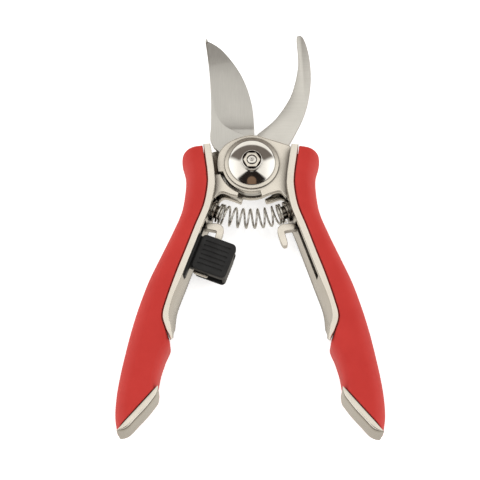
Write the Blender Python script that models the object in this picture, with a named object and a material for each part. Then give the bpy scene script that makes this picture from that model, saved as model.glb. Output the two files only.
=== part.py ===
"""Bypass pruning shears, lying on their back rims with the jaws open.

Millimetres inside this script, metres in the model. The pivot axis is X = 0, Y = 0, +Y runs to the
blade tips and +Z is the front face, where the dome nut is. The cutting blade turns with the right
handle, the counter blade is fixed to the left one.
"""
import math

import bmesh
import bpy
from mathutils import Matrix, Vector

for old in list(bpy.data.objects):
    bpy.data.objects.remove(old, do_unlink=True)

MM = 0.001

# ---------------------------------------------------------------- driving dimensions (mm)
THICK = 24.0          # handle thickness, rim to rim
HANDLE_REACH = 127.2  # pivot axis to the tips of the feet, along Y
BLADE_REACH = 67.2    # pivot axis to the tip of the counter blade, along Y
MIRROR_X = -0.45      # plane that the two open handles mirror about
LEFT_TURN = math.radians(-0.45)  # the left handle stands open this much further
FIT = 0.3             # clearance between separate pieces
BLADE_T = 2.75        # thickness of each blade
KEEN = 0.25           # thickness left at the ground edge
GROUND_SLOPE = 0.21   # steepest slope of the ground face
LUG_T = 3.0           # thickness of each pivot lug and stop plate
LUG_R = 13.9          # radius of the round lugs
CAM_R = LUG_R + 2.3   # radius of the raised stop sector of a lug
STOP_R = LUG_R + 1.3  # inner radius of the stop plates
TANG_R = LUG_R - 0.9  # round of each blade between the lugs
OPEN_STOP = 195.5     # direction of the stop step on the front lug, degrees from +X
OPEN_GAP = 3.0        # degrees left between step and stop plate when open
CLOSE_LUG = 16.5      # direction of the lug's closing corner, degrees from -Y
CLOSE_PLATE = 23.0    # direction of the stop plate's closing end, degrees from -Y
SHAFT_R = 4.0         # pivot bolt shaft
KEY_R = SHAFT_R + 0.8  # flatted neck that keys the bolt to the back lug
KEY_FLAT = 0.9        # distance of the flats, as a share of the neck's radius
STUD_R = 2.1          # threaded end of the pivot bolt
BUSH_R = SHAFT_R + 1.6  # outside of the pivot bush
HEAD_R = 10.4         # pivot bolt head
DOME_R = 10.7         # dome cap, and the radius that its top is curved to
DOME_CURVE = 21.0
COLLAR_R = 4.8        # raised collar that holds the nut
NUT_FLATS = 6.9       # nut across flats
NUT_T = 1.9           # nut thickness
WASHER_R = LUG_R - 1.4  # pivot washer
WASHER_T = 0.6
PIN_R = 1.6           # hidden pins that key each blade to its lug
PINS = [("upper", 10.4, 3.4), ("lower", 10.4, -5.6)]
PIN_DEPTH = 1.4       # how far a pin stands in its lug
SPRING_ARC = 41.5     # radius of the bent spring's centre line
SPRING_Y = -24.8      # centre line at its middle
SPRING_SPAN = 31.4    # straight distance between the spring seats
SPRING_SHORT = 0.03   # share of the arc left free at each seat
COIL_R = 4.3          # coil radius to the middle of the wire
WIRE_R = 0.5          # wire radius
CLOSE_TURNS = 2       # touching turns at each end, and the share of the arc that each takes
CLOSE_SHARE = 0.041
OPEN_TURNS = 7
SEAT_R = COIL_R + 0.6  # seat disc
SEAT_T = 1.0
SEAT_STUD_R = COIL_R - 1.2  # stud inside the coil
SEAT_STUD_L = 2.4
BOSS_L = 3.0          # boss on the casting behind each seat
LATCH_T = 4.0         # thickness of the latch hooks
SLOT_Z = (15.0, 21.4)  # lock slot in the inner wall of each handle, and its depth and ends
SLOT_DEPTH = 2.3
SLOT_A = (-12.4, 15.8)
LOCK_KNOT = 7         # place of the lock along the RIM_IN table
LOCK_TRAVEL = 6.0     # stroke of the lock slider
CAP_TOP = 20.6        # front face of the lock button
CAP_N = (1.5, 18.0)   # button across the handle, from the wall
CAP_A = (-7.2, 9.8)   # button along the handle
CAP_FRONT = 4.2       # thickness of its front
CAP_WALL = 1.5        # thickness of its outer wall and of its back lip
CAP_BACK = 7.6        # back face of the lock button
CAP_CORNER = 2.3
GROOVES = 6
GROOVE_W = 0.9
GROOVE_DEEP = 0.6
PLATE_T = 1.9         # steel plate behind the button's front
GRIP_CORNER = 0.8     # small edge radius where a grip meets the metal rim
GRIP_END = 2.0        # rounding of a grip's upper end
CORE_Z = (5.0, THICK - 5.0)  # tongue of the casting inside the grip
RIM_EDGE = 0.4        # broken edges of the casting
RIM_LEAN = 1.0        # the rail's back edge ends this many table steps before its front edge
FOOT_BACK = 4.6       # height of the foot's back face
FOOT_FRONT = 0.6      # depth of its front face below the front rim
FOOT_FLAT = 0.55      # share of the foot's width that stays flat at the front and back
FOOT_ROUND = 2.2      # depth over which the foot rounds off
FOOT_TIP = 0.09       # share of the foot's length that its back face is shorter by

# The right handle seen from the front, from the shoulder down to the tip: inner edge of the front
# rim, edge between rim and grip, and outer edge of the grip.
RIM_IN = [
    (18.3, 7.6), (17.7, 4.8), (16.9, -0.5), (16.2, -6.3), (16.0, -12.6), (17.8, -22.4), (21.4, -32.0),
    (25.6, -43.4), (29.9, -55.0), (34.2, -66.2), (35.7, -73.7), (34.7, -78.8), (33.7, -85.0),
]
GRIP_IN = [
    (21.8, 7.2), (21.4, 4.4), (20.7, -0.2), (19.9, -6.1), (19.7, -12.4), (21.3, -22.0), (25.1, -32.1),
    (29.1, -43.1), (33.4, -54.7), (37.2, -66.5), (39.0, -74.4), (37.3, -80.7), (35.2, -86.0),
    (37.3, -92.7), (39.1, -98.7), (40.0, -103.6), (40.3, -106.1),
]
GRIP_OUT = [
    (30.3, 5.9), (31.2, 3.5), (31.1, 0.3), (29.6, -5.4), (29.5, -12.2), (31.1, -23.0), (35.1, -33.3),
    (40.5, -45.2), (45.7, -56.8), (49.8, -68.7), (52.5, -78.2), (54.2, -85.2), (55.5, -91.2),
    (57.3, -100.2), (58.7, -109.7), (59.1, -118.7), (58.0, -126.5),
]
# How far the back rim stands inward of the front rim at each place of RIM_IN.
DRAFT = [0.6, 0.6, 0.6, 0.8, 0.8, 0.9, 1.0, 1.1, 1.3, 1.8, 2.3, 1.6, 0.4]
# Pairs across the metal foot: on the line where the grip ends, and on the foot's outer edge.
FOOT = [
    ((40.0, -106.5), (39.9, -108.0)), ((41.4, -108.1), (40.3, -110.9)), ((43.2, -110.2), (41.8, -113.2)),
    ((46.3, -113.8), (44.8, -117.2)), ((50.2, -118.3), (49.0, -121.9)), ((53.4, -121.9), (52.3, -125.6)),
    ((55.5, -124.4), (54.6, -126.9)), ((56.9, -126.0), (56.5, -127.2)), ((57.7, -126.9), (57.8, -127.1)),
]
# Cutting blade above its lug: edge from the tip down, then the spine upwards.
EDGE = [
    (-21.7, 64.0), (-18.8, 62.7), (-14.2, 59.3), (-9.3, 53.4), (-5.3, 47.1), (-2.6, 41.0),
    (-0.7, 34.9), (0.5, 28.8), (1.0, 22.8), (1.2, 16.3),
]
SPINE = [
    (-17.5, 9.4), (-19.3, 13.8), (-19.0, 19.8), (-19.0, 31.8), (-19.3, 37.9), (-19.6, 44.0),
    (-20.5, 53.1), (-21.3, 59.0), (-21.8, 62.6),
]
# Pairs across the ground face, from the tip to its end under the lug: border, and edge beside it.
GROUND = [
    ((-21.6, 62.0), (-20.4, 64.2)), ((-20.9, 57.5), (-15.2, 60.9)), ((-20.2, 52.0), (-10.2, 55.6)),
    ((-19.6, 46.0), (-5.8, 48.9)), ((-19.0, 40.0), (-2.8, 42.6)), ((-18.3, 34.0), (-0.7, 36.6)),
    ((-17.2, 28.0), (0.8, 30.4)), ((-15.6, 23.6), (1.4, 25.0)), ((-12.6, 19.9), (1.7, 21.0)),
    ((-8.2, 17.3), (1.9, 18.0)), ((-4.3, 15.6), (2.1, 15.4)), ((-0.4, 13.4), (2.4, 12.6)),
]
# Counter blade above its lug: concave inner edge from the tip down, then the outer edge upwards.
HOOK_IN = [
    (21.4, 66.6), (21.4, 63.7), (21.9, 57.5), (22.0, 52.9), (21.5, 48.3), (20.3, 42.2), (18.4, 36.1),
    (15.1, 30.0), (10.9, 24.2), (7.4, 20.8), (3.4, 17.4),
]
HOOK_OUT = [
    (15.4, 9.2), (17.9, 12.7), (20.7, 18.0), (23.6, 24.0), (25.7, 30.0), (27.1, 36.1), (27.9, 43.0),
    (27.9, 49.6), (27.3, 55.6), (26.3, 60.8), (24.7, 65.4), (23.2, 67.2),
]
LATCH = [
    (19.6, -27.6), (14.9, -27.8), (12.9, -28.6), (11.8, -30.2), (11.9, -32.0), (13.0, -35.8),
    (13.8, -37.7), (14.7, -38.7), (16.0, -38.4), (16.4, -37.3), (16.0, -35.2), (15.2, -32.4),
    (15.5, -31.4), (20.6, -30.6),
]
RAIL_REACH = 17.9     # inner wall of each open handle beside the pivot, from the axis
HANDLE_KNEE = -48.0   # the tables stretch beyond these two places when a reach is changed
BLADE_KNEE = 26.0


def stretch(points, knee, drawn, wanted):
    """Table with everything beyond the knee moved along Y, so that drawn comes to wanted."""
    share = (wanted - knee) / (drawn - knee)
    return [(x, y if (y - knee) / (drawn - knee) < 0 else knee + (y - knee) * share) for x, y in points]


def stretch_pairs(pairs, knee, drawn, wanted):
    return [tuple(stretch(pair, knee, drawn, wanted)) for pair in pairs]


DRAWN_HANDLE = min(y for pair in FOOT for x, y in pair)
RIM_IN, GRIP_IN, GRIP_OUT = (
    stretch(table, HANDLE_KNEE, DRAWN_HANDLE, -HANDLE_REACH) for table in (RIM_IN, GRIP_IN, GRIP_OUT)
)
FOOT = stretch_pairs(FOOT, HANDLE_KNEE, DRAWN_HANDLE, -HANDLE_REACH)
DRAWN_BLADE = max(y for x, y in HOOK_OUT)
EDGE, SPINE, HOOK_IN, HOOK_OUT = (
    stretch(table, BLADE_KNEE, DRAWN_BLADE, BLADE_REACH) for table in (EDGE, SPINE, HOOK_IN, HOOK_OUT)
)
GROUND = stretch_pairs(GROUND, BLADE_KNEE, DRAWN_BLADE, BLADE_REACH)
LAST = len(GRIP_IN) - 1
RIM_LAST = len(RIM_IN) - 1

# ---------------------------------------------------------------- derived heights
MID = THICK / 2
BLADE_Z = (MID + FIT / 2, MID + FIT / 2 + BLADE_T)
HOOK_Z = (MID - FIT / 2 - BLADE_T, MID - FIT / 2)
FRONT_Z = (BLADE_Z[1] + FIT, BLADE_Z[1] + FIT + LUG_T)
BACK_Z = (HOOK_Z[0] - FIT - LUG_T, HOOK_Z[0] - FIT)
HEAD_Z = (0.0, BACK_Z[0] - FIT)
WASHER_Z = (FRONT_Z[1] + FIT, FRONT_Z[1] + FIT + WASHER_T)
DOME_Z = WASHER_Z[1] + FIT
LATCH_Z = (MID - LATCH_T / 2, MID + LATCH_T / 2)
COLLAR_TOP = THICK - 0.6
NUT_Z = (COLLAR_TOP + 0.2 - NUT_T, COLLAR_TOP + 0.2)

# ---------------------------------------------------------------- materials
NICKEL = ((0.80, 0.76, 0.68), 1.0, 0.18)
STEEL = ((0.62, 0.61, 0.58), 1.0, 0.32)
CHROME = ((0.85, 0.84, 0.82), 1.0, 0.08)
GRIP_RED = ((0.58, 0.055, 0.045), 0.0, 0.6)
BLACK = ((0.03, 0.03, 0.03), 0.0, 0.45)
WIRE = ((0.6, 0.6, 0.6), 1.0, 0.25)


def material(name, color, metallic, roughness):
    mat = bpy.data.materials.new(name)
    mat.use_nodes = True
    shader = mat.node_tree.nodes["Principled BSDF"]
    shader.inputs["Base Color"].default_value = (*color, 1.0)
    shader.inputs["Metallic"].default_value = metallic
    shader.inputs["Roughness"].default_value = roughness
    mat.diffuse_color = (*color, 1.0)
    return mat


# ---------------------------------------------------------------- shape tools
def make(name, verts, faces):
    mesh = bpy.data.meshes.new(name)
    mesh.from_pydata([tuple(c * MM for c in v) for v in verts], [], faces)
    bm = bmesh.new()
    bm.from_mesh(mesh)
    bmesh.ops.recalc_face_normals(bm, faces=bm.faces)
    bm.to_mesh(mesh)
    bm.free()
    ob = bpy.data.objects.new(name, mesh)
    bpy.context.collection.objects.link(ob)
    return ob


def loft(name, rings):
    """Skin through rings of equal length, capped at both ends."""
    n = len(rings[0])
    count = len(rings)
    verts = [p for ring in rings for p in ring]
    faces = []
    for i in range(count - 1):
        for k in range(n):
            m = (k + 1) % n
            faces.append((i * n + k, i * n + m, (i + 1) * n + m, (i + 1) * n + k))
    faces.append(tuple(range(n)))
    faces.append(tuple((count - 1) * n + k for k in range(n)))
    return make(name, verts, faces)


def prism(name, outline, low, high):
    return loft(name, [[(x, y, low) for x, y in outline], [(x, y, high) for x, y in outline]])


def revolve(name, profile, segments, centre=(0.0, 0.0)):
    """Solid of revolution from (radius, z) points; a point at radius 0 closes on the axis."""
    verts = []
    index = []
    for r, z in profile:
        start = len(verts)
        if r == 0.0:
            index.append([start] * segments)
            verts.append((*centre, z))
            continue
        index.append([start + k for k in range(segments)])
        for k in range(segments):
            a = 2 * math.pi * k / segments
            verts.append((centre[0] + r * math.cos(a), centre[1] + r * math.sin(a), z))
    open_ends = profile[0][0] == 0.0 and profile[-1][0] == 0.0
    faces = []
    for i in range(len(profile) - 1 if open_ends else len(profile)):
        j = (i + 1) % len(profile)
        for k in range(segments):
            m = (k + 1) % segments
            face = tuple(dict.fromkeys([index[i][k], index[i][m], index[j][m], index[j][k]]))
            if len(face) > 2:
                faces.append(face)
    return make(name, verts, faces)


def disc_profile(radius, low, high):
    return [(0.0, low), (radius, low), (radius, high), (0.0, high)]


def ring_profile(inner, outer, low, high):
    return [(inner, low), (outer, low), (outer, high), (inner, high)]


def tube(name, points, radius, sides):
    """Round wire along points, its section carried without twist."""
    pts = [Vector(p) for p in points]
    rings = []
    tangent = (pts[1] - pts[0]).normalized()
    side = tangent.orthogonal().normalized()
    for i, p in enumerate(pts):
        new = (pts[min(i + 1, len(pts) - 1)] - pts[max(i - 1, 0)]).normalized()
        side = tangent.rotation_difference(new) @ side
        tangent = new
        up = tangent.cross(side)
        ring = []
        for k in range(sides):
            a = 2 * math.pi * k / sides
            ring.append(tuple(p + radius * (math.cos(a) * side + math.sin(a) * up)))
        rings.append(ring)
    return loft(name, rings)


def place(ob, matrix):
    """Moves a shape and any cutters on it by a matrix, turned back outside out when it mirrors."""
    helpers = [mod.object for mod in ob.modifiers if mod.type == "BOOLEAN"]
    for shape in [ob, *helpers]:
        shape.data.transform(matrix)
        if matrix.determinant() < 0:
            shape.data.flip_normals()
    return ob


def bevel(ob, width, segments=2, angle=35):
    mod = ob.modifiers.new("edge", "BEVEL")
    mod.width = width * MM
    mod.segments = segments
    mod.limit_method = "ANGLE"
    mod.angle_limit = math.radians(angle)
    return ob


def combine(ob, other, operation):
    mod = ob.modifiers.new(operation.lower(), "BOOLEAN")
    mod.operation = operation
    mod.solver = "EXACT"
    mod.object = other
    other.hide_render = True
    other.display_type = "WIRE"
    return ob


def drill(ob, name, radius, low, high, segments, centre=(0.0, 0.0)):
    """Round hole that runs from low to high."""
    return combine(ob, revolve(name, disc_profile(radius, low, high), segments, centre), "DIFFERENCE")


def finish(ob, name, look, smooth=30):
    ob.name = name
    ob.data.name = name
    ob.data.materials.clear()
    ob.data.materials.append(material(name, *look))
    for poly in ob.data.polygons:
        poly.use_smooth = True
    ob.data.set_sharp_from_angle(angle=math.radians(smooth))
    return ob


def polar(radius, degrees):
    """Point on a circle about the pivot, its direction from +X."""
    a = math.radians(degrees)
    return (radius * math.cos(a), radius * math.sin(a))


def arc(radius, start, end, steps):
    return [polar(radius, start + (end - start) * k / steps) for k in range(steps + 1)]


def steps_between(start, end, count):
    return [start + (end - start) * k / count for k in range(count + 1)]


def ease(f):
    """Smooth step from 0 to 1."""
    f = min(max(f, 0.0), 1.0)
    return f * f * (3 - 2 * f)


def blend(low, high, t, start, end):
    return low + (high - low) * ease((t - start) / (end - start))


def along(points, t):
    """Smooth curve through points, at the fractional index t; it runs on straight past the ends."""
    last = len(points) - 1
    i = min(max(int(math.floor(t)), 0), last - 1)
    f = t - i
    p1 = Vector(points[i])
    p2 = Vector(points[i + 1])
    if f < 0 or f > 1:
        return p1 + (p2 - p1) * f
    p0 = Vector(points[i - 1]) if i > 0 else p1 * 2 - p2
    p3 = Vector(points[i + 2]) if i + 2 <= last else p2 * 2 - p1
    return 0.5 * (
        2 * p1 + (p2 - p0) * f + (2 * p0 - 5 * p1 + 4 * p2 - p3) * f * f
        + (3 * p1 - p0 - 3 * p2 + p3) * f * f * f
    )


def corner(cx, cz, ax, az, start, steps, power):
    """Quarter of a rounded corner: directions start..start+90 degrees, as superellipse points."""
    found = []
    for k in range(steps + 1):
        a = math.radians(start + 90 * k / steps)
        c = math.cos(a)
        s = math.sin(a)
        x = cx + ax * math.copysign(abs(c) ** (2 / power), c)
        z = cz + az * math.copysign(abs(s) ** (2 / power), s)
        found.append((x, z))
    return found


def rounded_box(low, high, radius, steps=4):
    """Rectangle with rounded corners, from its low corner to its high one."""
    found = []
    for cx, cy, start in (
        (high[0] - radius, high[1] - radius, 0), (low[0] + radius, high[1] - radius, 90),
        (low[0] + radius, low[1] + radius, 180), (high[0] - radius, low[1] + radius, 270),
    ):
        for k in range(steps + 1):
            x, y = polar(radius, start + 90 * k / steps)
            found.append((cx + x, cy + y))
    return found


# ---------------------------------------------------------------- frames of reference
MIRROR = Matrix.Scale(-1, 4, (1, 0, 0))
TO_LEFT = Matrix.Rotation(LEFT_TURN, 4, "Z") @ Matrix.Translation((2 * MIRROR_X * MM, 0, 0)) @ MIRROR


def side_matrix(side):
    """Carries a shape drawn for the right handle to the handle on that side."""
    return Matrix.Identity(4) if side == "right" else TO_LEFT


def pivot_matrix(side):
    """Carries a shape drawn for the right lug to the lug on that side."""
    return Matrix.Identity(4) if side == "right" else MIRROR


def lock_frame():
    """Frame on the left handle's inner wall: X away from the wall, Y up along the handle."""
    wall = RIM_IN[LOCK_KNOT]
    run = Vector(RIM_IN[LOCK_KNOT + 1]) - Vector(RIM_IN[LOCK_KNOT - 1])
    tilt = Matrix.Rotation(math.atan2(run.x, run.y) - math.pi, 4, "Z")
    origin = Matrix.Translation(((2 * MIRROR_X - wall[0]) * MM, wall[1] * MM, 0))
    return Matrix.Rotation(LEFT_TURN, 4, "Z") @ origin @ tilt


def spring_point(f, radius=0.0, turn=0.0):
    """Point at fraction f of the spring's arc, out on a coil of the given radius."""
    half = math.asin(0.5 * SPRING_SPAN / SPRING_ARC)
    a = half * (2 * f - 1)
    centre = SPRING_ARC + radius * math.cos(turn)
    return (
        MIRROR_X + centre * math.sin(a),
        SPRING_Y + SPRING_ARC - centre * math.cos(a),
        MID + radius * math.sin(turn),
    )


def seat_matrix():
    """Frame at the spring's right end: Z outward along the spring, X away from the pivot."""
    half = math.asin(0.5 * SPRING_SPAN / SPRING_ARC)
    out = Vector((math.cos(half), math.sin(half), 0.0))
    side = Vector((math.sin(half), -math.cos(half), 0.0))
    rotation = Matrix((side, out.cross(side), out)).transposed().to_4x4()
    return Matrix.Translation(Vector(spring_point(1.0)) * MM) @ rotation


# ---------------------------------------------------------------- handles
def across_grip(t):
    """Rim-side point, direction and width of a grip at t, and its direction towards the tip."""
    p = along(GRIP_IN, t)
    q = along(GRIP_OUT, t)
    across = (q - p).normalized()
    return p, across, (q - p).length, Vector((across.y, -across.x))


def grip_ring(t, inset, steps=6):
    """Section of a grip across the handle: flat on the rim's side, well rounded outside."""
    start, across, width, down = across_grip(t)
    length = width - inset
    half = MID - inset
    in_x = min(blend(GRIP_CORNER, 5.0, t, 10.8, 13.0), 0.3 * length)
    in_z = blend(GRIP_CORNER, 9.5, t, 10.8, 13.0)
    out_x = min(0.62 * length, 8.5)
    out_z = 0.95 * half
    section = []
    section += corner(length - out_x, MID + half - out_z, out_x, out_z, 0, steps, 2.3)
    section += corner(in_x, MID + half - in_z, in_x, in_z, 90, steps // 2, 2.1)
    section += corner(in_x, MID - half + in_z, in_x, in_z, 180, steps // 2, 2.1)
    section += corner(length - out_x, MID - half + out_z, out_x, out_z, 270, steps, 2.3)
    return [(start.x + across.x * s, start.y + across.y * s, z) for s, z in section]


def core_ring(t, grow, past=0.0):
    """Section of the casting's tongue inside a grip; grow makes the hollow that it fits."""
    p, across, width, down = across_grip(t)
    low = blend(-1.4 - 2 * grow, 0.3 * width, t, 10.4, 12.0) - grow
    high = blend(0.5, 0.62, t, 10.4, 12.0) * width + grow
    a = p + across * low + down * past
    b = p + across * high + down * past
    bottom = CORE_Z[0] - grow
    top = CORE_Z[1] + grow
    return [(a.x, a.y, bottom), (b.x, b.y, bottom), (b.x, b.y, top), (a.x, a.y, top)]


def core_rings(grow):
    return [core_ring(t, grow) for t in steps_between(1, LAST, 2 * (LAST - 1))]


def rail_ring(t):
    """Section of the bare metal rail: two rims and the drafted inner wall."""
    small = 0.3
    edge = RIM_EDGE
    draft = along([(d, 0.0) for d in DRAFT], t).x
    width = (along(GRIP_IN, t) - along(RIM_IN, t)).length - FIT - 0.05
    section = [
        (width, small), (width, THICK - small), (width - small, THICK), (edge, THICK),
        (0.3 * edge, THICK - 0.3 * edge), (0.0, THICK - edge), (-draft, edge),
        (-draft + 0.3 * edge, 0.3 * edge), (-draft + edge, 0.0), (width - small, 0.0),
    ]
    ring = []
    for s, z in section:
        lean = RIM_LEAN * ease((t - RIM_LAST + 2) / 2) * (1 - z / THICK)
        f = along(RIM_IN, t - lean)
        across = (along(GRIP_IN, t - lean) - f).normalized()
        ring.append((f.x + across.x * s, f.y + across.y * s, z))
    return ring


def foot_solid(name, layers=12):
    """Metal foot across the grip's end, its outer side rounded and its tip drawn in at the back."""
    low = FOOT_BACK
    high = THICK - FOOT_FRONT
    half = (high - low) / 2
    last = len(FOOT) - 1
    inner = [a for a, b in FOOT]
    outer = [b for a, b in FOOT]
    rings = []
    for turn in steps_between(-90, 90, layers):
        z = low + half + half * math.sin(math.radians(turn))
        off = max(abs(z - low - half) - half + FOOT_ROUND, 0.0) / FOOT_ROUND
        share = FOOT_FLAT + (1 - FOOT_FLAT) * math.sqrt(max(1 - off * off, 0.0))
        shorter = 1 - FOOT_TIP * ((high - z) / (high - low)) ** 2
        near = [along(inner, k * shorter) for k in range(last + 1)]
        far = [along(outer, k * shorter) for k in range(last + 1)]
        far = [a + (b - a) * share for a, b in zip(near, far)]
        rings.append([(p.x, p.y, z) for p in near + far[::-1]])
    return loft(name, rings)


def lug_outline(reach):
    """Pivot lug with its raised stop sector, running out to the rail on the right."""
    start = 108
    full = 168
    points = [(reach + 1.2, 7.4), (reach - 0.6, 9.2)]
    points += arc(LUG_R + 0.2, 75.5, start, 6)
    for f in steps_between(0.125, 1.0, 7):
        points.append(polar(blend(LUG_R + 0.2, CAM_R, f, 0, 1), start + (full - start) * f))
    points += arc(CAM_R, full + 8, OPEN_STOP, 3)
    points += arc(LUG_R, OPEN_STOP + 1.5, 270 + CLOSE_LUG, 12)
    points.append(polar(LUG_R + 3.0, 270 + CLOSE_LUG))
    points += [(8.0, -14.8), (12.0, -13.6), (13.8, -14.3), (15.6, -16.4), (reach + 0.2, -17.4)]
    points += [(reach - 0.1, -10.0), (reach + 0.4, 0.0)]
    return points


def stop_outline(reach):
    """Stop plate of the other casting, on the right: a short plate with a concave end."""
    first = OPEN_STOP + OPEN_GAP - 180
    points = [(reach + 0.2, -5.4), (16.9, -5.3)]
    points += arc(STOP_R, 360 - first, 270 + CLOSE_PLATE, 6)
    points.append(polar(LUG_R + 3.4, 270 + CLOSE_PLATE))
    points += [(9.6, -15.2), (13.2, -13.9), (15.6, -14.8), (17.0, -16.6), (reach + 0.2, -17.4)]
    points.append((reach - 0.1, -10.0))
    return points


def key_outline(radius):
    """Round with two flats, so that the bolt's neck can't turn in the back lug."""
    a = math.degrees(math.acos(KEY_FLAT))
    return arc(radius, a, 180 - a, 10) + arc(radius, 180 + a, 360 - a, 10)


def handle(side):
    """One casting with its pivot lug, stop plate, latch hook, spring boss and tip foot."""
    name = side + "_handle_frame"
    right = side == "right"
    lug_z, stop_z = (FRONT_Z, BACK_Z) if right else (BACK_Z, FRONT_Z)
    reach = RAIL_REACH if right else RAIL_REACH - 2 * MIRROR_X
    to_side = side_matrix(side)
    about_pivot = pivot_matrix(side)

    rail = place(loft(name, [rail_ring(t) for t in steps_between(0, RIM_LAST, 2 * RIM_LAST + 1)]), to_side)
    tongue = loft(name + "_tongue", core_rings(0.0) + [core_ring(LAST, 0.0, 2.4)])
    lug = bevel(prism(name + "_lug", lug_outline(reach), *lug_z), 0.4)
    stop = bevel(prism(name + "_stop", stop_outline(reach), *stop_z), 0.4)
    latch = bevel(prism(name + "_latch", LATCH, *LATCH_Z), 0.7)
    boss_low = SEAT_T + 2 * FIT
    boss = revolve(name + "_boss", disc_profile(SEAT_R + 0.4, boss_low, boss_low + BOSS_L), 24)
    combine(rail, place(tongue, to_side), "UNION")
    combine(rail, place(bevel(foot_solid(name + "_foot"), 0.2, 1, 50), to_side), "UNION")
    combine(rail, place(lug, about_pivot), "UNION")
    combine(rail, place(stop, about_pivot), "UNION")
    combine(rail, place(latch, to_side), "UNION")
    combine(rail, place(boss, to_side @ seat_matrix()), "UNION")

    low, high = SLOT_A
    slot = prism(name + "_slot", [(-SLOT_DEPTH, low), (3.0, low), (3.0, high), (-SLOT_DEPTH, high)], *SLOT_Z)
    combine(rail, place(slot, to_side @ TO_LEFT.inverted() @ lock_frame()), "DIFFERENCE")
    if right:
        drill(rail, name + "_hole", BUSH_R + FIT, lug_z[0] - 1, lug_z[1] + 1, 36)
    else:
        hole = prism(name + "_hole", key_outline(KEY_R + FIT), lug_z[0] - 1, lug_z[1] + 1)
        combine(rail, hole, "DIFFERENCE")
    pocket = PIN_DEPTH + FIT
    inner = (lug_z[0] - 1, lug_z[0] + pocket) if right else (lug_z[1] - pocket, lug_z[1] + 1)
    for word, x, y in PINS:
        drill(rail, name + "_pin_" + word, PIN_R + FIT, *inner, 16, (x if right else -x, y))
    return finish(rail, name, NICKEL)


def grip(side):
    """Soft grip around the casting's tongue."""
    name = side + "_grip"
    rings = []
    for turn in (85, 55, 25):
        a = math.radians(turn)
        rings.append(grip_ring(0.75 * (1 - math.sin(a)), GRIP_END * (1 - math.cos(a))))
    rings += [grip_ring(t, 0.0) for t in steps_between(0.75, LAST - 0.03, 27)]
    rings.append(grip_ring(LAST, FIT))
    body = loft(name, rings)
    hollow = [core_ring(1.0, FIT, -FIT)] + core_rings(FIT) + [core_ring(LAST, FIT, 3.0)]
    combine(body, loft(name + "_hollow", hollow), "DIFFERENCE")
    return finish(place(body, side_matrix(side)), name, GRIP_RED, 40)


# ---------------------------------------------------------------- blades
def bore_and_key(body, heights, mirrored):
    """Bush bore and pin holes through a blade."""
    low = heights[0] - 1
    high = heights[1] + 1
    drill(body, body.name + "_bore", BUSH_R + FIT, low, high, 36)
    for word, x, y in PINS:
        drill(body, body.name + "_pin_" + word, PIN_R + FIT, low, high, 16, (-x if mirrored else x, y))
    return body


def ground_rings(pairs):
    """Sections of the wedge that is ground off the blade's front, deepest beyond the edge."""
    rings = []
    high = BLADE_Z[1] + 1.0
    for top, edge in pairs:
        b = Vector(top)
        e = Vector(edge)
        out = e + (e - b).normalized() * 1.5
        slope = min((BLADE_T - KEEN) / (e - b).length, GROUND_SLOPE)
        top_z = BLADE_Z[0] + KEEN + slope * (e - b).length
        low = max(top_z - slope * (out - b).length, BLADE_Z[0] - 0.4)
        rings.append([(b.x, b.y, top_z), (out.x, out.y, low), (out.x, out.y, high), (b.x, b.y, high)])
    return rings


def cutting_blade():
    tang = [(2.6, 13.2), (9.5, 11.2), (14.4, 7.8), (14.4, -9.4), (9.6, -11.0)]
    tang += arc(TANG_R, 310, 175, 12) + [(-14.2, 6.2)]
    body = prism("cutting_blade", EDGE + tang + SPINE, *BLADE_Z)
    combine(body, loft("blade_ground", ground_rings(GROUND)), "DIFFERENCE")
    return finish(bore_and_key(body, BLADE_Z, False), "cutting_blade", STEEL, 25)


def counter_blade():
    tang = arc(TANG_R + 0.2, 100, 135, 3) + [(-14.6, 7.4), (-15.2, 6.0), (-15.2, -9.4), (-9.6, -11.0)]
    tang += arc(TANG_R, 230, 375, 12)
    outline = HOOK_IN + [(0.5, 14.6)] + tang + HOOK_OUT
    body = bevel(prism("counter_blade", outline, *HOOK_Z), 0.35, 1, 60)
    return finish(bore_and_key(body, HOOK_Z, True), "counter_blade", STEEL, 25)


# ---------------------------------------------------------------- pivot
def pivot_bolt():
    low, high = HEAD_Z
    profile = [(0, low), (5.2, low), (7.0, low + 0.5), (8.8, low + 1.7), (10.0, low + 3.3)]
    profile += [(HEAD_R, high - 0.9), (HEAD_R, high), (SHAFT_R, high), (SHAFT_R, WASHER_Z[0] - FIT)]
    profile += [(STUD_R, WASHER_Z[0] + 0.6), (STUD_R, THICK - 0.3), (STUD_R - 0.3, THICK)]
    profile += [(1.0, THICK), (0, THICK - 0.6)]
    body = revolve("pivot_bolt", profile, 36)
    combine(body, prism("bolt_neck", key_outline(KEY_R), high - 0.5, BACK_Z[1]), "UNION")
    return finish(body, "pivot_bolt", CHROME)


def dome_cap():
    foot_r = COLLAR_R + 0.15
    peak = COLLAR_TOP - 1.4 + DOME_CURVE * (1 - math.cos(math.asin(foot_r / DOME_CURVE)))
    well = NUT_FLATS / math.sqrt(3) + FIT
    profile = [(STUD_R + FIT, DOME_Z), (DOME_R - 0.3, DOME_Z), (DOME_R, DOME_Z + 0.3)]
    for r in steps_between(DOME_R - 0.2, foot_r, 6):
        profile.append((r, peak - DOME_CURVE + math.sqrt(DOME_CURVE ** 2 - r * r)))
    profile += [(COLLAR_R, COLLAR_TOP - 1.3), (COLLAR_R, COLLAR_TOP - 0.5)]
    profile += [(COLLAR_R - 0.15, COLLAR_TOP - 0.15), (COLLAR_R - 0.5, COLLAR_TOP)]
    profile += [(well, COLLAR_TOP - 0.2), (well, NUT_Z[0] - FIT), (STUD_R + FIT, NUT_Z[0] - FIT)]
    return finish(revolve("dome_cap", profile, 36), "dome_cap", CHROME)


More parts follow.
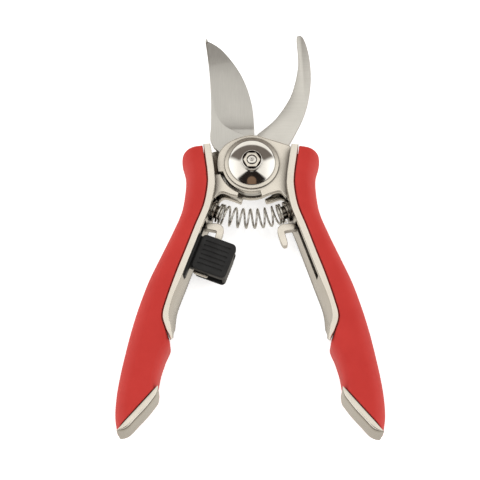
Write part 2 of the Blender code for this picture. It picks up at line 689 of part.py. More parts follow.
def lock_nut():
    body = bevel(prism("lock_nut", arc(NUT_FLATS / math.sqrt(3), 0, 300, 5), *NUT_Z), 0.25, 1)
    drill(body, "nut_bore", STUD_R + FIT, NUT_Z[0] - 1, NUT_Z[1] + 1, 24)
    return finish(body, "lock_nut", NICKEL)


def pivot_bush():
    profile = ring_profile(SHAFT_R + FIT, BUSH_R, BACK_Z[1] + FIT, FRONT_Z[1] - FIT)
    return finish(revolve("pivot_bush", profile, 36), "pivot_bush", STEEL)


def pivot_washer():
    profile = ring_profile(SHAFT_R + FIT, WASHER_R, *WASHER_Z)
    return finish(revolve("pivot_washer", profile, 40), "pivot_washer", CHROME)


def pin(name, x, y, low, high):
    return finish(revolve(name, disc_profile(PIN_R, low, high), 16, (x, y)), name, STEEL)


# ---------------------------------------------------------------- return spring
def spring():
    """Compression spring bent to an arc: touching turns at each end and open turns between."""
    total = 2 * CLOSE_TURNS + OPEN_TURNS
    closed = CLOSE_TURNS * CLOSE_SHARE
    per_turn = 12
    points = []
    for k in range(total * per_turn + 1):
        turns = k / per_turn
        if turns <= CLOSE_TURNS:
            f = turns * CLOSE_SHARE
        elif turns >= total - CLOSE_TURNS:
            f = 1 - (total - turns) * CLOSE_SHARE
        else:
            f = closed + (1 - 2 * closed) * (turns - CLOSE_TURNS) / OPEN_TURNS
        f = SPRING_SHORT + (1 - 2 * SPRING_SHORT) * f
        points.append(spring_point(f, COIL_R, 2 * math.pi * turns))
    return finish(tube("return_spring", points, WIRE_R, 5), "return_spring", WIRE, 60)


def spring_seat(side):
    """Seat disc with a stud inside the spring's end."""
    name = side + "_spring_seat"
    profile = [(0, -SEAT_STUD_L), (SEAT_STUD_R - 0.5, -SEAT_STUD_L), (SEAT_STUD_R, -SEAT_STUD_L + 0.5)]
    profile += [(SEAT_STUD_R, FIT), (SEAT_R, FIT), (SEAT_R, FIT + SEAT_T), (0, FIT + SEAT_T)]
    return finish(place(revolve(name, profile, 24), side_matrix(side) @ seat_matrix()), name, NICKEL)


# ---------------------------------------------------------------- lock
def lock_slider():
    """Sliding button: grooved front, captive strip in the handle's slot, side wall and back lip."""
    n0, n1 = CAP_N
    a0, a1 = CAP_A
    wall_out = n1 - 0.15
    wall = [(n1 - CAP_WALL, a0 + 0.9), (wall_out, a0 + 1.4), (wall_out, a1 - 4.6), (n1 - CAP_WALL, a1 - 4.6)]
    base = [(-1.0, a0 + 0.4), (n0 + 1.2, a0 + 0.4), (n0 + 1.2, a1 - 0.9), (-1.0, a1 - 0.9)]
    lip = rounded_box((n0 + 1.6, a0 + 0.3), (n1 - 0.35, a1 - 0.3), 1.6)
    s0 = SLOT_A[0] + 0.5
    s1 = SLOT_A[1] - LOCK_TRAVEL - 0.7
    strip = [(-SLOT_DEPTH + FIT, s0), (0.9, s0), (0.9, s1), (-SLOT_DEPTH + FIT, s1)]

    body = prism("lock_slider", rounded_box((n0, a0), (n1, a1), CAP_CORNER), CAP_TOP - CAP_FRONT, CAP_TOP)
    bevel(body, 0.7)
    combine(body, prism("lock_base", base, SLOT_Z[0] + FIT, CAP_TOP - 1.8), "UNION")
    combine(body, prism("lock_strip", strip, SLOT_Z[0] + FIT, SLOT_Z[1] - FIT), "UNION")
    combine(body, prism("lock_wall", wall, CAP_BACK + 0.4, CAP_TOP - 1.5), "UNION")
    combine(body, prism("lock_lip", lip, CAP_BACK, CAP_BACK + CAP_WALL), "UNION")
    for k, a in enumerate(steps_between(a0 + 3.0, a1 - 3.0, GROOVES - 1)):
        low = (n0 + 2.2, a - GROOVE_W / 2)
        high = (n1 - 2.2, a + GROOVE_W / 2)
        outline = rounded_box(low, high, 0.49 * GROOVE_W, 2)
        combine(body, prism("lock_groove_%d" % k, outline, CAP_TOP - GROOVE_DEEP, CAP_TOP + 1), "DIFFERENCE")
    return finish(place(body, lock_frame()), "lock_slider", BLACK)


def lock_plate():
    """Small steel plate behind the button's front, proud of its lower end."""
    high = CAP_TOP - CAP_FRONT - FIT
    outline = rounded_box((CAP_N[0] + 1.5, CAP_A[0] - 0.9), (10.0, -0.5), 0.8, 2)
    body = bevel(prism("lock_plate", outline, high - PLATE_T, high), 0.25, 1)
    return finish(place(body, lock_frame()), "lock_plate", NICKEL)


def hinge(name, at, pieces):
    """Empty on a joint axis that carries the pieces of one moving body."""
    empty = bpy.data.objects.new(name, None)
    empty.location = at
    bpy.context.collection.objects.link(empty)
    bpy.context.view_layer.update()
    for piece in pieces:
        piece.parent = empty
        piece.matrix_parent_inverse = empty.matrix_world.inverted()


# ---------------------------------------------------------------- the shears
handle("left")
grip("left")
spring_seat("left")
counter_blade()
pivot_bolt()
pivot_bush()
pivot_washer()
dome_cap()
lock_nut()
spring()
turning = [handle("right"), grip("right"), spring_seat("right"), cutting_blade()]
for word, x, y in PINS:
    turning.append(pin("blade_pin_" + word, x, y, BLADE_Z[0] + 0.2, FRONT_Z[0] + PIN_DEPTH))
    pin("counter_pin_" + word, -x, y, BACK_Z[1] - PIN_DEPTH, HOOK_Z[1] - 0.2)
hinge("pivot_axis", Vector((0, 0, MID)) * MM, turning)
lock_at = lock_frame().translation
hinge("lock_axis", (lock_at.x, lock_at.y, MID * MM), [lock_slider(), lock_plate()])
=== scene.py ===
"""Looks of the bypass pruning shears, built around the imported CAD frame.

Shapes are written in millimetres in the frame's own axes: pivot axis at X = 0, Y = 0, blade tips
towards +Y, front face towards +Z. Every visible CAD node gets a finer piece or a finished material.
"""
import math

import bmesh
import bpy
from mathutils import Matrix, Vector


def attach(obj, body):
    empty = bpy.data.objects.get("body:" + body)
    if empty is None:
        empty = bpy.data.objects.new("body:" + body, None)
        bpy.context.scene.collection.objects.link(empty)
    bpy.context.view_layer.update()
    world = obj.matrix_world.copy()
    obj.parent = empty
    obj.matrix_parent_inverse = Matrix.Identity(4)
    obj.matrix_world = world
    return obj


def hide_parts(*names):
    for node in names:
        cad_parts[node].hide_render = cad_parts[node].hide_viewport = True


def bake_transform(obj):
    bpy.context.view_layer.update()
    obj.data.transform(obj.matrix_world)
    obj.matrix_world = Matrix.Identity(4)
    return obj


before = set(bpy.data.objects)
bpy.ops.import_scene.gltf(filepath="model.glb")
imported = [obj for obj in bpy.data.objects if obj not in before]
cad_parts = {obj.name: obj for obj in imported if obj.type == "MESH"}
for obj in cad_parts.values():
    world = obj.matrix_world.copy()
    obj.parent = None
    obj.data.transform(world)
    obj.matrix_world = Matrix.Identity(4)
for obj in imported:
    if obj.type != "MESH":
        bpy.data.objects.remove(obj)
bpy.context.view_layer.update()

MM = 0.001
LEFT = "left_half"
RIGHT = "right_half"
LOCK = "lock"

# ---------------------------------------------------------------- sizes of the CAD frame (mm)
THICK = 24.0          # handle thickness, rim to rim
HANDLE_REACH = 127.2  # pivot axis to the tips of the feet, along Y
BLADE_REACH = 67.2    # pivot axis to the tip of the counter blade, along Y
MIRROR_X = -0.45      # plane that the two open handles mirror about
LEFT_TURN = math.radians(-0.45)  # the left handle stands open this much further
FIT = 0.3             # clearance between separate pieces
BLADE_T = 2.75        # thickness of each blade
KEEN = 0.25           # thickness left at the ground edge
GROUND_SLOPE = 0.21   # steepest slope of the ground face
LUG_T = 3.0           # thickness of each pivot lug and stop plate
LUG_R = 13.9          # radius of the round lugs
CAM_R = LUG_R + 2.3   # radius of the raised stop sector of a lug
STOP_R = LUG_R + 1.3  # inner radius of the stop plates
TANG_R = LUG_R - 0.9  # round of each blade between the lugs
OPEN_STOP = 195.5     # direction of the stop step on the front lug, degrees from +X
OPEN_GAP = 3.0        # degrees left between step and stop plate when open
CLOSE_LUG = 16.5      # direction of the lug's closing corner, degrees from -Y
CLOSE_PLATE = 23.0    # direction of the stop plate's closing end, degrees from -Y
SHAFT_R = 4.0         # pivot bolt shaft
KEY_R = SHAFT_R + 0.8  # flatted neck that keys the bolt to the back lug
KEY_FLAT = 0.9        # distance of the flats, as a share of the neck's radius
STUD_R = 2.1          # threaded end of the pivot bolt
BUSH_R = SHAFT_R + 1.6  # outside of the pivot bush
HEAD_R = 10.4         # pivot bolt head
DOME_R = 10.7         # dome cap
DOME_CURVE = 21.0     # radius of the sphere that its top is part of
COLLAR_R = 4.8        # raised collar that holds the nut
NUT_FLATS = 6.9       # nut across flats
NUT_T = 1.9           # nut thickness
WASHER_R = LUG_R - 1.4  # pivot washer, and its thickness
WASHER_T = 0.6
SPRING_ARC = 41.5     # radius of the bent spring's centre line
SPRING_Y = -24.8      # centre line at its middle
SPRING_SPAN = 31.4    # straight distance between the spring seats
SPRING_SHORT = 0.03   # share of the arc left free at each seat
COIL_R = 4.3          # coil radius to the middle of the wire
WIRE_R = 0.5          # wire radius
CLOSE_TURNS = 2       # touching turns at each end, and the share of the arc that each takes
CLOSE_SHARE = 0.041
OPEN_TURNS = 7
SEAT_R = COIL_R + 0.6  # seat disc, and its thickness
SEAT_T = 1.0
SEAT_STUD_R = COIL_R - 1.2  # stud inside the coil, and its length
SEAT_STUD_L = 2.4
BOSS_L = 3.0          # boss on the casting behind each seat
LATCH_T = 4.0         # thickness of the latch hooks
SLOT_Z = (15.0, 21.4)  # lock slot in the inner wall of each handle, and its depth and ends
SLOT_DEPTH = 2.3
SLOT_A = (-12.4, 15.8)
LOCK_KNOT = 7         # place of the lock along the RIM_IN table
LOCK_TRAVEL = 6.0     # stroke of the lock slider
CAP_TOP = 20.6        # front face of the lock button
CAP_N = (1.5, 18.0)   # button across the handle, from the wall
CAP_A = (-7.2, 9.8)   # button along the handle
CAP_FRONT = 4.2       # thickness of its front
CAP_WALL = 1.5        # thickness of its outer wall and of its back lip
CAP_BACK = 7.6        # back face of the lock button
CAP_CORNER = 2.3      # rounding of its four corners
GROOVES = 6           # grip grooves across its front, their width and depth
GROOVE_W = 0.9
GROOVE_DEEP = 0.6
PLATE_T = 1.9         # steel plate behind the button's front
GRIP_CORNER = 0.8     # small edge radius where a grip meets the metal rim
GRIP_END = 2.0        # rounding of a grip's upper end
CORE_Z = (5.0, THICK - 5.0)  # tongue of the casting inside the grip
RIM_EDGE = 0.4        # broken edges of the casting
RIM_LEAN = 1.0        # the rail's back edge ends this many table steps before its front edge
FOOT_BACK = 4.6       # height of the foot's back face
FOOT_FRONT = 0.6      # depth of its front face below the front rim
FOOT_FLAT = 0.55      # share of the foot's width that stays flat at the front and back
FOOT_ROUND = 2.2      # depth over which the foot rounds off
FOOT_TIP = 0.09       # share of the foot's length that its back face is shorter by

# The right handle seen from the front, from the shoulder down to the tip: inner edge of the front
# rim, edge between rim and grip, and outer edge of the grip.
RIM_IN = [
    (18.3, 7.6), (17.7, 4.8), (16.9, -0.5), (16.2, -6.3), (16.0, -12.6), (17.8, -22.4), (21.4, -32.0),
    (25.6, -43.4), (29.9, -55.0), (34.2, -66.2), (35.7, -73.7), (34.7, -78.8), (33.7, -85.0),
]
GRIP_IN = [
    (21.8, 7.2), (21.4, 4.4), (20.7, -0.2), (19.9, -6.1), (19.7, -12.4), (21.3, -22.0), (25.1, -32.1),
    (29.1, -43.1), (33.4, -54.7), (37.2, -66.5), (39.0, -74.4), (37.3, -80.7), (35.2, -86.0),
    (37.3, -92.7), (39.1, -98.7), (40.0, -103.6), (40.3, -106.1),
]
GRIP_OUT = [
    (30.3, 5.9), (31.2, 3.5), (31.1, 0.3), (29.6, -5.4), (29.5, -12.2), (31.1, -23.0), (35.1, -33.3),
    (40.5, -45.2), (45.7, -56.8), (49.8, -68.7), (52.5, -78.2), (54.2, -85.2), (55.5, -91.2),
    (57.3, -100.2), (58.7, -109.7), (59.1, -118.7), (58.0, -126.5),
]
# How far the back rim stands inward of the front rim at each place of RIM_IN.
DRAFT = [0.6, 0.6, 0.6, 0.8, 0.8, 0.9, 1.0, 1.1, 1.3, 1.8, 2.3, 1.6, 0.4]
# Pairs across the metal foot: on the line where the grip ends, and on the foot's outer edge.
FOOT = [
    ((40.0, -106.5), (39.9, -108.0)), ((41.4, -108.1), (40.3, -110.9)), ((43.2, -110.2), (41.8, -113.2)),
    ((46.3, -113.8), (44.8, -117.2)), ((50.2, -118.3), (49.0, -121.9)), ((53.4, -121.9), (52.3, -125.6)),
    ((55.5, -124.4), (54.6, -126.9)), ((56.9, -126.0), (56.5, -127.2)), ((57.7, -126.9), (57.8, -127.1)),
]
# Cutting blade above its lug: edge from the tip down, then the spine upwards.
EDGE = [
    (-21.7, 64.0), (-18.8, 62.7), (-14.2, 59.3), (-9.3, 53.4), (-5.3, 47.1), (-2.6, 41.0),
    (-0.7, 34.9), (0.5, 28.8), (1.0, 22.8), (1.2, 16.3),
]
SPINE = [
    (-17.5, 9.4), (-19.3, 13.8), (-19.0, 19.8), (-19.0, 31.8), (-19.3, 37.9), (-19.6, 44.0),
    (-20.5, 53.1), (-21.3, 59.0), (-21.8, 62.6),
]
# Pairs across the ground face, from the tip to its end under the lug: border, and edge beside it.
GROUND = [
    ((-21.6, 62.0), (-20.4, 64.2)), ((-20.9, 57.5), (-15.2, 60.9)), ((-20.2, 52.0), (-10.2, 55.6)),
    ((-19.6, 46.0), (-5.8, 48.9)), ((-19.0, 40.0), (-2.8, 42.6)), ((-18.3, 34.0), (-0.7, 36.6)),
    ((-17.2, 28.0), (0.8, 30.4)), ((-15.6, 23.6), (1.4, 25.0)), ((-12.6, 19.9), (1.7, 21.0)),
    ((-8.2, 17.3), (1.9, 18.0)), ((-4.3, 15.6), (2.1, 15.4)), ((-0.4, 13.4), (2.4, 12.6)),
]
# Counter blade above its lug: concave inner edge from the tip down, then the outer edge upwards.
HOOK_IN = [
    (21.4, 66.6), (21.4, 63.7), (21.9, 57.5), (22.0, 52.9), (21.5, 48.3), (20.3, 42.2), (18.4, 36.1),
    (15.1, 30.0), (10.9, 24.2), (7.4, 20.8), (3.4, 17.4),
]
HOOK_OUT = [
    (15.4, 9.2), (17.9, 12.7), (20.7, 18.0), (23.6, 24.0), (25.7, 30.0), (27.1, 36.1), (27.9, 43.0),
    (27.9, 49.6), (27.3, 55.6), (26.3, 60.8), (24.7, 65.4), (23.2, 67.2),
]
LATCH = [
    (19.6, -27.6), (14.9, -27.8), (12.9, -28.6), (11.8, -30.2), (11.9, -32.0), (13.0, -35.8),
    (13.8, -37.7), (14.7, -38.7), (16.0, -38.4), (16.4, -37.3), (16.0, -35.2), (15.2, -32.4),
    (15.5, -31.4), (20.6, -30.6),
]
RAIL_REACH = 17.9     # inner wall of each open handle beside the pivot, from the axis
HANDLE_KNEE = -48.0   # the tables stretch beyond these two places when a reach is changed
BLADE_KNEE = 26.0
END_START = 0.75      # table place where a grip's rounded upper end meets its full section
EDGE_EASE = (10.8, 13.0)  # table places between which a grip's rim-side edges become round
CORE_EASE = (10.4, 12.0)  # and between which the tongue narrows


def stretch(points, knee, drawn, wanted):
    """Table with everything beyond the knee moved along Y, so that drawn comes to wanted."""
    share = (wanted - knee) / (drawn - knee)
    return [(x, y if (y - knee) / (drawn - knee) < 0 else knee + (y - knee) * share) for x, y in points]


def stretch_pairs(pairs, knee, drawn, wanted):
    return [tuple(stretch(pair, knee, drawn, wanted)) for pair in pairs]


DRAWN_HANDLE = min(y for pair in FOOT for x, y in pair)
RIM_IN, GRIP_IN, GRIP_OUT = (
    stretch(table, HANDLE_KNEE, DRAWN_HANDLE, -HANDLE_REACH) for table in (RIM_IN, GRIP_IN, GRIP_OUT)
)
FOOT = stretch_pairs(FOOT, HANDLE_KNEE, DRAWN_HANDLE, -HANDLE_REACH)
DRAWN_BLADE = max(y for x, y in HOOK_OUT)
EDGE, SPINE, HOOK_IN, HOOK_OUT = (
    stretch(table, BLADE_KNEE, DRAWN_BLADE, BLADE_REACH) for table in (EDGE, SPINE, HOOK_IN, HOOK_OUT)
)
GROUND = stretch_pairs(GROUND, BLADE_KNEE, DRAWN_BLADE, BLADE_REACH)
LAST = len(GRIP_IN) - 1
RIM_LAST = len(RIM_IN) - 1

# ---------------------------------------------------------------- derived heights
MID = THICK / 2
BLADE_Z = (MID + FIT / 2, MID + FIT / 2 + BLADE_T)
HOOK_Z = (MID - FIT / 2 - BLADE_T, MID - FIT / 2)
FRONT_Z = (BLADE_Z[1] + FIT, BLADE_Z[1] + FIT + LUG_T)
BACK_Z = (HOOK_Z[0] - FIT - LUG_T, HOOK_Z[0] - FIT)
HEAD_Z = (0.0, BACK_Z[0] - FIT)
WASHER_Z = (FRONT_Z[1] + FIT, FRONT_Z[1] + FIT + WASHER_T)
DOME_Z = WASHER_Z[1] + FIT
LATCH_Z = (MID - LATCH_T / 2, MID + LATCH_T / 2)
COLLAR_TOP = THICK - 0.6
NUT_Z = (COLLAR_TOP + 0.2 - NUT_T, COLLAR_TOP + 0.2)


# ---------------------------------------------------------------- materials
class Look:
    """One node material, with helpers that keep each recipe short."""

    def __init__(self, name, color, metallic, roughness):
        self.material = bpy.data.materials.new(name)
        self.material.use_nodes = True
        self.tree = self.material.node_tree
        self.shader = self.tree.nodes["Principled BSDF"]
        self.shader.inputs["Base Color"].default_value = (*color, 1.0)
        self.shader.inputs["Metallic"].default_value = metallic
        self.shader.inputs["Roughness"].default_value = roughness
        self.coords = self.tree.nodes.new("ShaderNodeTexCoord").outputs["Object"]

    def set(self, name, value):
        self.shader.inputs[name].default_value = value

    def noise(self, scale, detail=3.0, rough=0.5, stretch=None):
        node = self.tree.nodes.new("ShaderNodeTexNoise")
        node.inputs["Scale"].default_value = scale
        node.inputs["Detail"].default_value = detail
        node.inputs["Roughness"].default_value = rough
        source = self.coords
        if stretch is not None:
            mapping = self.tree.nodes.new("ShaderNodeMapping")
            mapping.inputs["Scale"].default_value = stretch
            self.tree.links.new(source, mapping.inputs["Vector"])
            source = mapping.outputs["Vector"]
        self.tree.links.new(source, node.inputs["Vector"])
        return node.outputs["Fac"]

    def ramp(self, fac, low, high, start=0.3, end=0.7):
        node = self.tree.nodes.new("ShaderNodeValToRGB")
        node.color_ramp.elements[0].position = start
        node.color_ramp.elements[1].position = end
        node.color_ramp.elements[0].color = (*low, 1.0)
        node.color_ramp.elements[1].color = (*high, 1.0)
        self.tree.links.new(fac, node.inputs["Fac"])
        return node.outputs["Color"]

    def spread(self, fac, low, high):
        node = self.tree.nodes.new("ShaderNodeMapRange")
        node.inputs["From Min"].default_value = 0.25
        node.inputs["From Max"].default_value = 0.75
        node.inputs["To Min"].default_value = low
        node.inputs["To Max"].default_value = high
        self.tree.links.new(fac, node.inputs["Value"])
        return node.outputs["Result"]

    def multiply(self, first, second, share=1.0):
        node = self.tree.nodes.new("ShaderNodeMix")
        node.data_type = "RGBA"
        node.blend_type = "MULTIPLY"
        node.inputs["Factor"].default_value = share
        self.tree.links.new(first, node.inputs[6])
        self.tree.links.new(second, node.inputs[7])
        return node.outputs[2]

    def bump(self, height, strength, distance, below=None):
        node = self.tree.nodes.new("ShaderNodeBump")
        node.inputs["Strength"].default_value = strength
        node.inputs["Distance"].default_value = distance
        self.tree.links.new(height, node.inputs["Height"])
        if below is not None:
            self.tree.links.new(below, node.inputs["Normal"])
        return node.outputs["Normal"]

    def painted_crevice_shade(self, color, reach, deep=0.08, start=0.45, end=0.9):
        """Painted shade: darkens a colour by ambient occlusion in narrow gaps and recesses, where light
        falls off.
        """
        node = self.tree.nodes.new("ShaderNodeAmbientOcclusion")
        node.samples = 8
        node.inputs["Distance"].default_value = reach
        shade = self.ramp(node.outputs["AO"], (deep, 0.8 * deep, 0.65 * deep), (1.0, 1.0, 1.0), start, end)
        return self.multiply(color, shade)

    def link(self, socket, name):
        self.tree.links.new(socket, self.shader.inputs[name])


def nickel_look():
    """Satin nickel plate over a casting: warm, faintly rippled, with fine pores."""
    look = Look("nickel_plate", (0.84, 0.80, 0.73), 1.0, 0.2)
    cloud = look.noise(110, 3)
    grain = look.noise(2600, 2)
    plate = look.ramp(cloud, (0.82, 0.78, 0.71), (0.87, 0.83, 0.76))
    # Painted shade: the plate colour is darkened by ambient occlusion in gaps and recesses.
    look.link(look.painted_crevice_shade(plate, 0.005, 0.06, 0.5, 0.92), "Base Color")
    look.link(look.spread(look.noise(420, 3), 0.16, 0.25), "Roughness")
    ripple = look.bump(cloud, 0.06, 0.0004)
    look.link(look.bump(grain, 0.08, 0.00003, ripple), "Normal")
    return look.material


def chrome_look():
    """Polished chrome with faint wiping marks."""
    look = Look("polished_chrome", (0.92, 0.90, 0.87), 1.0, 0.06)
    marks = look.noise(300, 4, 0.6, (1.0, 0.25, 1.0))
    plate = look.ramp(marks, (0.86, 0.845, 0.81), (0.94, 0.925, 0.90))
    # Painted shade: the chrome colour is darkened by ambient occlusion in narrow gaps.
    look.link(look.painted_crevice_shade(plate, 0.002), "Base Color")
    look.link(look.spread(marks, 0.04, 0.10), "Roughness")
    look.link(look.bump(look.noise(90, 2), 0.03, 0.0004), "Normal")
    return look.material


def blade_look(name, low, high, along_x, along_y):
    """Ground blade steel: fine grinding lines and soft cloudy patches."""
    look = Look(name, high, 1.0, 0.36)
    lines = look.noise(2400, 5, 0.65, (along_x, along_y, 1.0))
    cloud = look.noise(60, 4)
    tone = look.ramp(lines, low, high, 0.25, 0.75)
    patch = look.ramp(cloud, (0.92, 0.92, 0.92), (1.0, 1.0, 1.0))
    # Painted shade: the steel colour is darkened by ambient occlusion close to other parts.
    look.link(look.painted_crevice_shade(look.multiply(tone, patch), 0.001, 0.3), "Base Color")
    look.link(look.spread(lines, 0.30, 0.44), "Roughness")
    look.link(look.bump(lines, 0.15, 0.00004), "Normal")
    return look.material


def grip_look():
    """Red soft-touch coating: matt, faint mottling, fine moulded grain."""
    look = Look("soft_red_grip", (0.52, 0.034, 0.027), 0.0, 0.58)
    mottle = look.noise(45, 5, 0.6)
    grain = look.noise(5200, 2)
    look.link(look.ramp(mottle, (0.485, 0.029, 0.023), (0.555, 0.040, 0.032), 0.25, 0.75), "Base Color")
    look.link(look.spread(look.noise(300, 4), 0.50, 0.64), "Roughness")
    look.set("Specular IOR Level", 0.25)
    look.set("Sheen Weight", 0.08)
    look.set("Sheen Roughness", 0.35)
    look.set("Sheen Tint", (1.0, 0.75, 0.70, 1.0))
    dents = look.bump(look.noise(160, 3), 0.08, 0.0004)
    look.link(look.bump(grain, 0.30, 0.00006, dents), "Normal")
    return look.material


def plastic_look():
    """Black moulded plastic with a fine spark-eroded grain."""
    look = Look("black_plastic", (0.020, 0.020, 0.021), 0.0, 0.42)
    grain = look.noise(3800, 3)
    look.link(look.ramp(look.noise(220, 4), (0.009, 0.009, 0.0095), (0.017, 0.017, 0.0175)), "Base Color")
    look.link(look.spread(grain, 0.34, 0.50), "Roughness")
    look.set("Specular IOR Level", 0.32)
    look.link(look.bump(grain, 0.22, 0.00005), "Normal")
    return look.material


def wire_look():
    """Bright drawn spring wire with fine die lines."""
    look = Look("spring_wire", (0.66, 0.65, 0.62), 1.0, 0.2)
    marks = look.noise(900, 4)
    look.link(look.ramp(marks, (0.56, 0.55, 0.52), (0.78, 0.77, 0.74)), "Base Color")
    look.link(look.spread(marks, 0.14, 0.28), "Roughness")
    look.link(look.bump(marks, 0.15, 0.00005), "Normal")
    return look.material


def turned_look():
    """Plain turned steel for hidden hardware."""
    look = Look("turned_steel", (0.60, 0.58, 0.54), 1.0, 0.3)
    rings = look.noise(1500, 3, 0.5, (1.0, 1.0, 4.0))
    look.link(look.ramp(rings, (0.52, 0.50, 0.46), (0.68, 0.66, 0.62)), "Base Color")
    look.link(look.spread(rings, 0.24, 0.38), "Roughness")
    return look.material


NICKEL = nickel_look()
CHROME = chrome_look()
BLADE = blade_look("ground_blade", (0.70, 0.70, 0.68), (0.80, 0.80, 0.78), 1.0, 0.04)
COUNTER = blade_look("ground_counter_blade", (0.78, 0.775, 0.745), (0.88, 0.875, 0.845), 0.05, 1.0)
RED = grip_look()
PLASTIC = plastic_look()
WIRE = wire_look()
TURNED = turned_look()


# ---------------------------------------------------------------- shape tools
def make(name, verts, faces):
    mesh = bpy.data.meshes.new(name)
    mesh.from_pydata([tuple(c * MM for c in v) for v in verts], [], faces)
    bm = bmesh.new()
    bm.from_mesh(mesh)
    bmesh.ops.recalc_face_normals(bm, faces=bm.faces)
    bm.to_mesh(mesh)
    bm.free()
    ob = bpy.data.objects.new(name, mesh)
    bpy.context.collection.objects.link(ob)
    return ob


def loft(name, rings):
    """Skin through rings of equal length, capped at both ends."""
    n = len(rings[0])
    count = len(rings)
    verts = [p for ring in rings for p in ring]
    faces = []
    for i in range(count - 1):
        for k in range(n):
            m = (k + 1) % n
            faces.append((i * n + k, i * n + m, (i + 1) * n + m, (i + 1) * n + k))
    faces.append(tuple(range(n)))
    faces.append(tuple((count - 1) * n + k for k in range(n)))
    return make(name, verts, faces)


def prism(name, outline, low, high):
    return loft(name, [[(x, y, low) for x, y in outline], [(x, y, high) for x, y in outline]])


def revolve(name, profile, segments, centre=(0.0, 0.0)):
    """Solid of revolution from (radius, z) points; a point at radius 0 closes on the axis."""
    verts = []
    index = []
    for r, z in profile:
        start = len(verts)
        if r == 0.0:
            index.append([start] * segments)
            verts.append((*centre, z))
            continue
        index.append([start + k for k in range(segments)])
        for k in range(segments):
            a = 2 * math.pi * k / segments
            verts.append((centre[0] + r * math.cos(a), centre[1] + r * math.sin(a), z))
    open_ends = profile[0][0] == 0.0 and profile[-1][0] == 0.0
    faces = []
    for i in range(len(profile) - 1 if open_ends else len(profile)):
        j = (i + 1) % len(profile)
        for k in range(segments):
            m = (k + 1) % segments
            face = tuple(dict.fromkeys([index[i][k], index[i][m], index[j][m], index[j][k]]))
            if len(face) > 2:
                faces.append(face)
    return make(name, verts, faces)


def disc_profile(radius, low, high):
    return [(0.0, low), (radius, low), (radius, high), (0.0, high)]


def tube(name, points, radius, sides):
    """Round wire along points, its section carried without twist."""
    pts = [Vector(p) for p in points]
    rings = []
    tangent = (pts[1] - pts[0]).normalized()
    side = tangent.orthogonal().normalized()
    for i, p in enumerate(pts):
        new = (pts[min(i + 1, len(pts) - 1)] - pts[max(i - 1, 0)]).normalized()
        side = tangent.rotation_difference(new) @ side
        tangent = new
        up = tangent.cross(side)
        ring = []
        for k in range(sides):
            a = 2 * math.pi * k / sides
            ring.append(tuple(p + radius * (math.cos(a) * side + math.sin(a) * up)))
        rings.append(ring)
    return loft(name, rings)


def place(ob, matrix):
    """Moves a shape and any cutters on it by a matrix, turned back outside out when it mirrors."""
    helpers = [mod.object for mod in ob.modifiers if mod.type == "BOOLEAN"]
    for shape in [ob, *helpers]:
        shape.data.transform(matrix)
        if matrix.determinant() < 0:
            shape.data.flip_normals()
    return ob


def bevel(ob, width, segments=2, angle=35):
    mod = ob.modifiers.new("edge", "BEVEL")
    mod.width = width * MM
    mod.segments = segments
    mod.limit_method = "ANGLE"
    mod.angle_limit = math.radians(angle)
    return ob


def combine(ob, other, operation):
    mod = ob.modifiers.new(operation.lower(), "BOOLEAN")
    mod.operation = operation
    mod.solver = "EXACT"
    mod.object = other
    return ob


def drill(ob, name, radius, low, high, segments, centre=(0.0, 0.0)):
    """Round hole that runs from low to high."""
    return combine(ob, revolve(name, disc_profile(radius, low, high), segments, centre), "DIFFERENCE")


def bake(ob):
    """Applies the modifiers of a piece and deletes the helper objects that they used."""
    helpers = [m.object for m in ob.modifiers if m.type == "BOOLEAN"]
    bpy.context.view_layer.update()
    done = bpy.data.meshes.new_from_object(ob.evaluated_get(bpy.context.evaluated_depsgraph_get()))
    ob.modifiers.clear()
    ob.data = done
    for helper in helpers:
        bpy.data.objects.remove(helper, do_unlink=True)
    return ob


def finish(ob, name, look, body, node, smooth=32):
    """Final mesh of a piece: names, material, shading, body and the CAD node that it stands for."""
    bake(ob)
    ob.name = name
    ob.data.name = name
    ob.data.materials.clear()
    ob.data.materials.append(look)
    for poly in ob.data.polygons:
        poly.use_smooth = True
    ob.data.set_sharp_from_angle(angle=math.radians(smooth))
    if body is not None:
        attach(ob, body)
    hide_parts(node)
    return ob


def polar(radius, degrees):
    """Point on a circle about the pivot, its direction from +X."""
    a = math.radians(degrees)
    return (radius * math.cos(a), radius * math.sin(a))


def arc(radius, start, end, steps):
    return [polar(radius, start + (end - start) * k / steps) for k in range(steps + 1)]


def steps_between(start, end, count):
    return [start + (end - start) * k / count for k in range(count + 1)]


def ease(f):
    """Smooth step from 0 to 1."""
    f = min(max(f, 0.0), 1.0)
    return f * f * (3 - 2 * f)


def blend(low, high, t, start, end):
    return low + (high - low) * ease((t - start) / (end - start))


def along(points, t):
    """Smooth curve through points, at the fractional index t; it runs on straight past the ends."""
    last = len(points) - 1
    i = min(max(int(math.floor(t)), 0), last - 1)
    f = t - i
    p1 = Vector(points[i])
    p2 = Vector(points[i + 1])
    if f < 0 or f > 1:
        return p1 + (p2 - p1) * f
    p0 = Vector(points[i - 1]) if i > 0 else p1 * 2 - p2
    p3 = Vector(points[i + 2]) if i + 2 <= last else p2 * 2 - p1
    return 0.5 * (
        2 * p1 + (p2 - p0) * f + (2 * p0 - 5 * p1 + 4 * p2 - p3) * f * f
        + (3 * p1 - p0 - 3 * p2 + p3) * f * f * f
    )


def corner(cx, cz, ax, az, start, steps, power):
    """Quarter of a rounded corner: directions start..start+90 degrees, as superellipse points."""
    found = []
    for k in range(steps + 1):
        a = math.radians(start + 90 * k / steps)
        c = math.cos(a)
        s = math.sin(a)
        x = cx + ax * math.copysign(abs(c) ** (2 / power), c)
        z = cz + az * math.copysign(abs(s) ** (2 / power), s)
        found.append((x, z))
    return found


def rounded_box(low, high, radius, steps=4):
    """Rectangle with rounded corners, from its low corner to its high one."""
    found = []
    for cx, cy, start in (
        (high[0] - radius, high[1] - radius, 0), (low[0] + radius, high[1] - radius, 90),
        (low[0] + radius, low[1] + radius, 180), (high[0] - radius, low[1] + radius, 270),
    ):
        for k in range(steps + 1):
            x, y = polar(radius, start + 90 * k / steps)
            found.append((cx + x, cy + y))
    return found


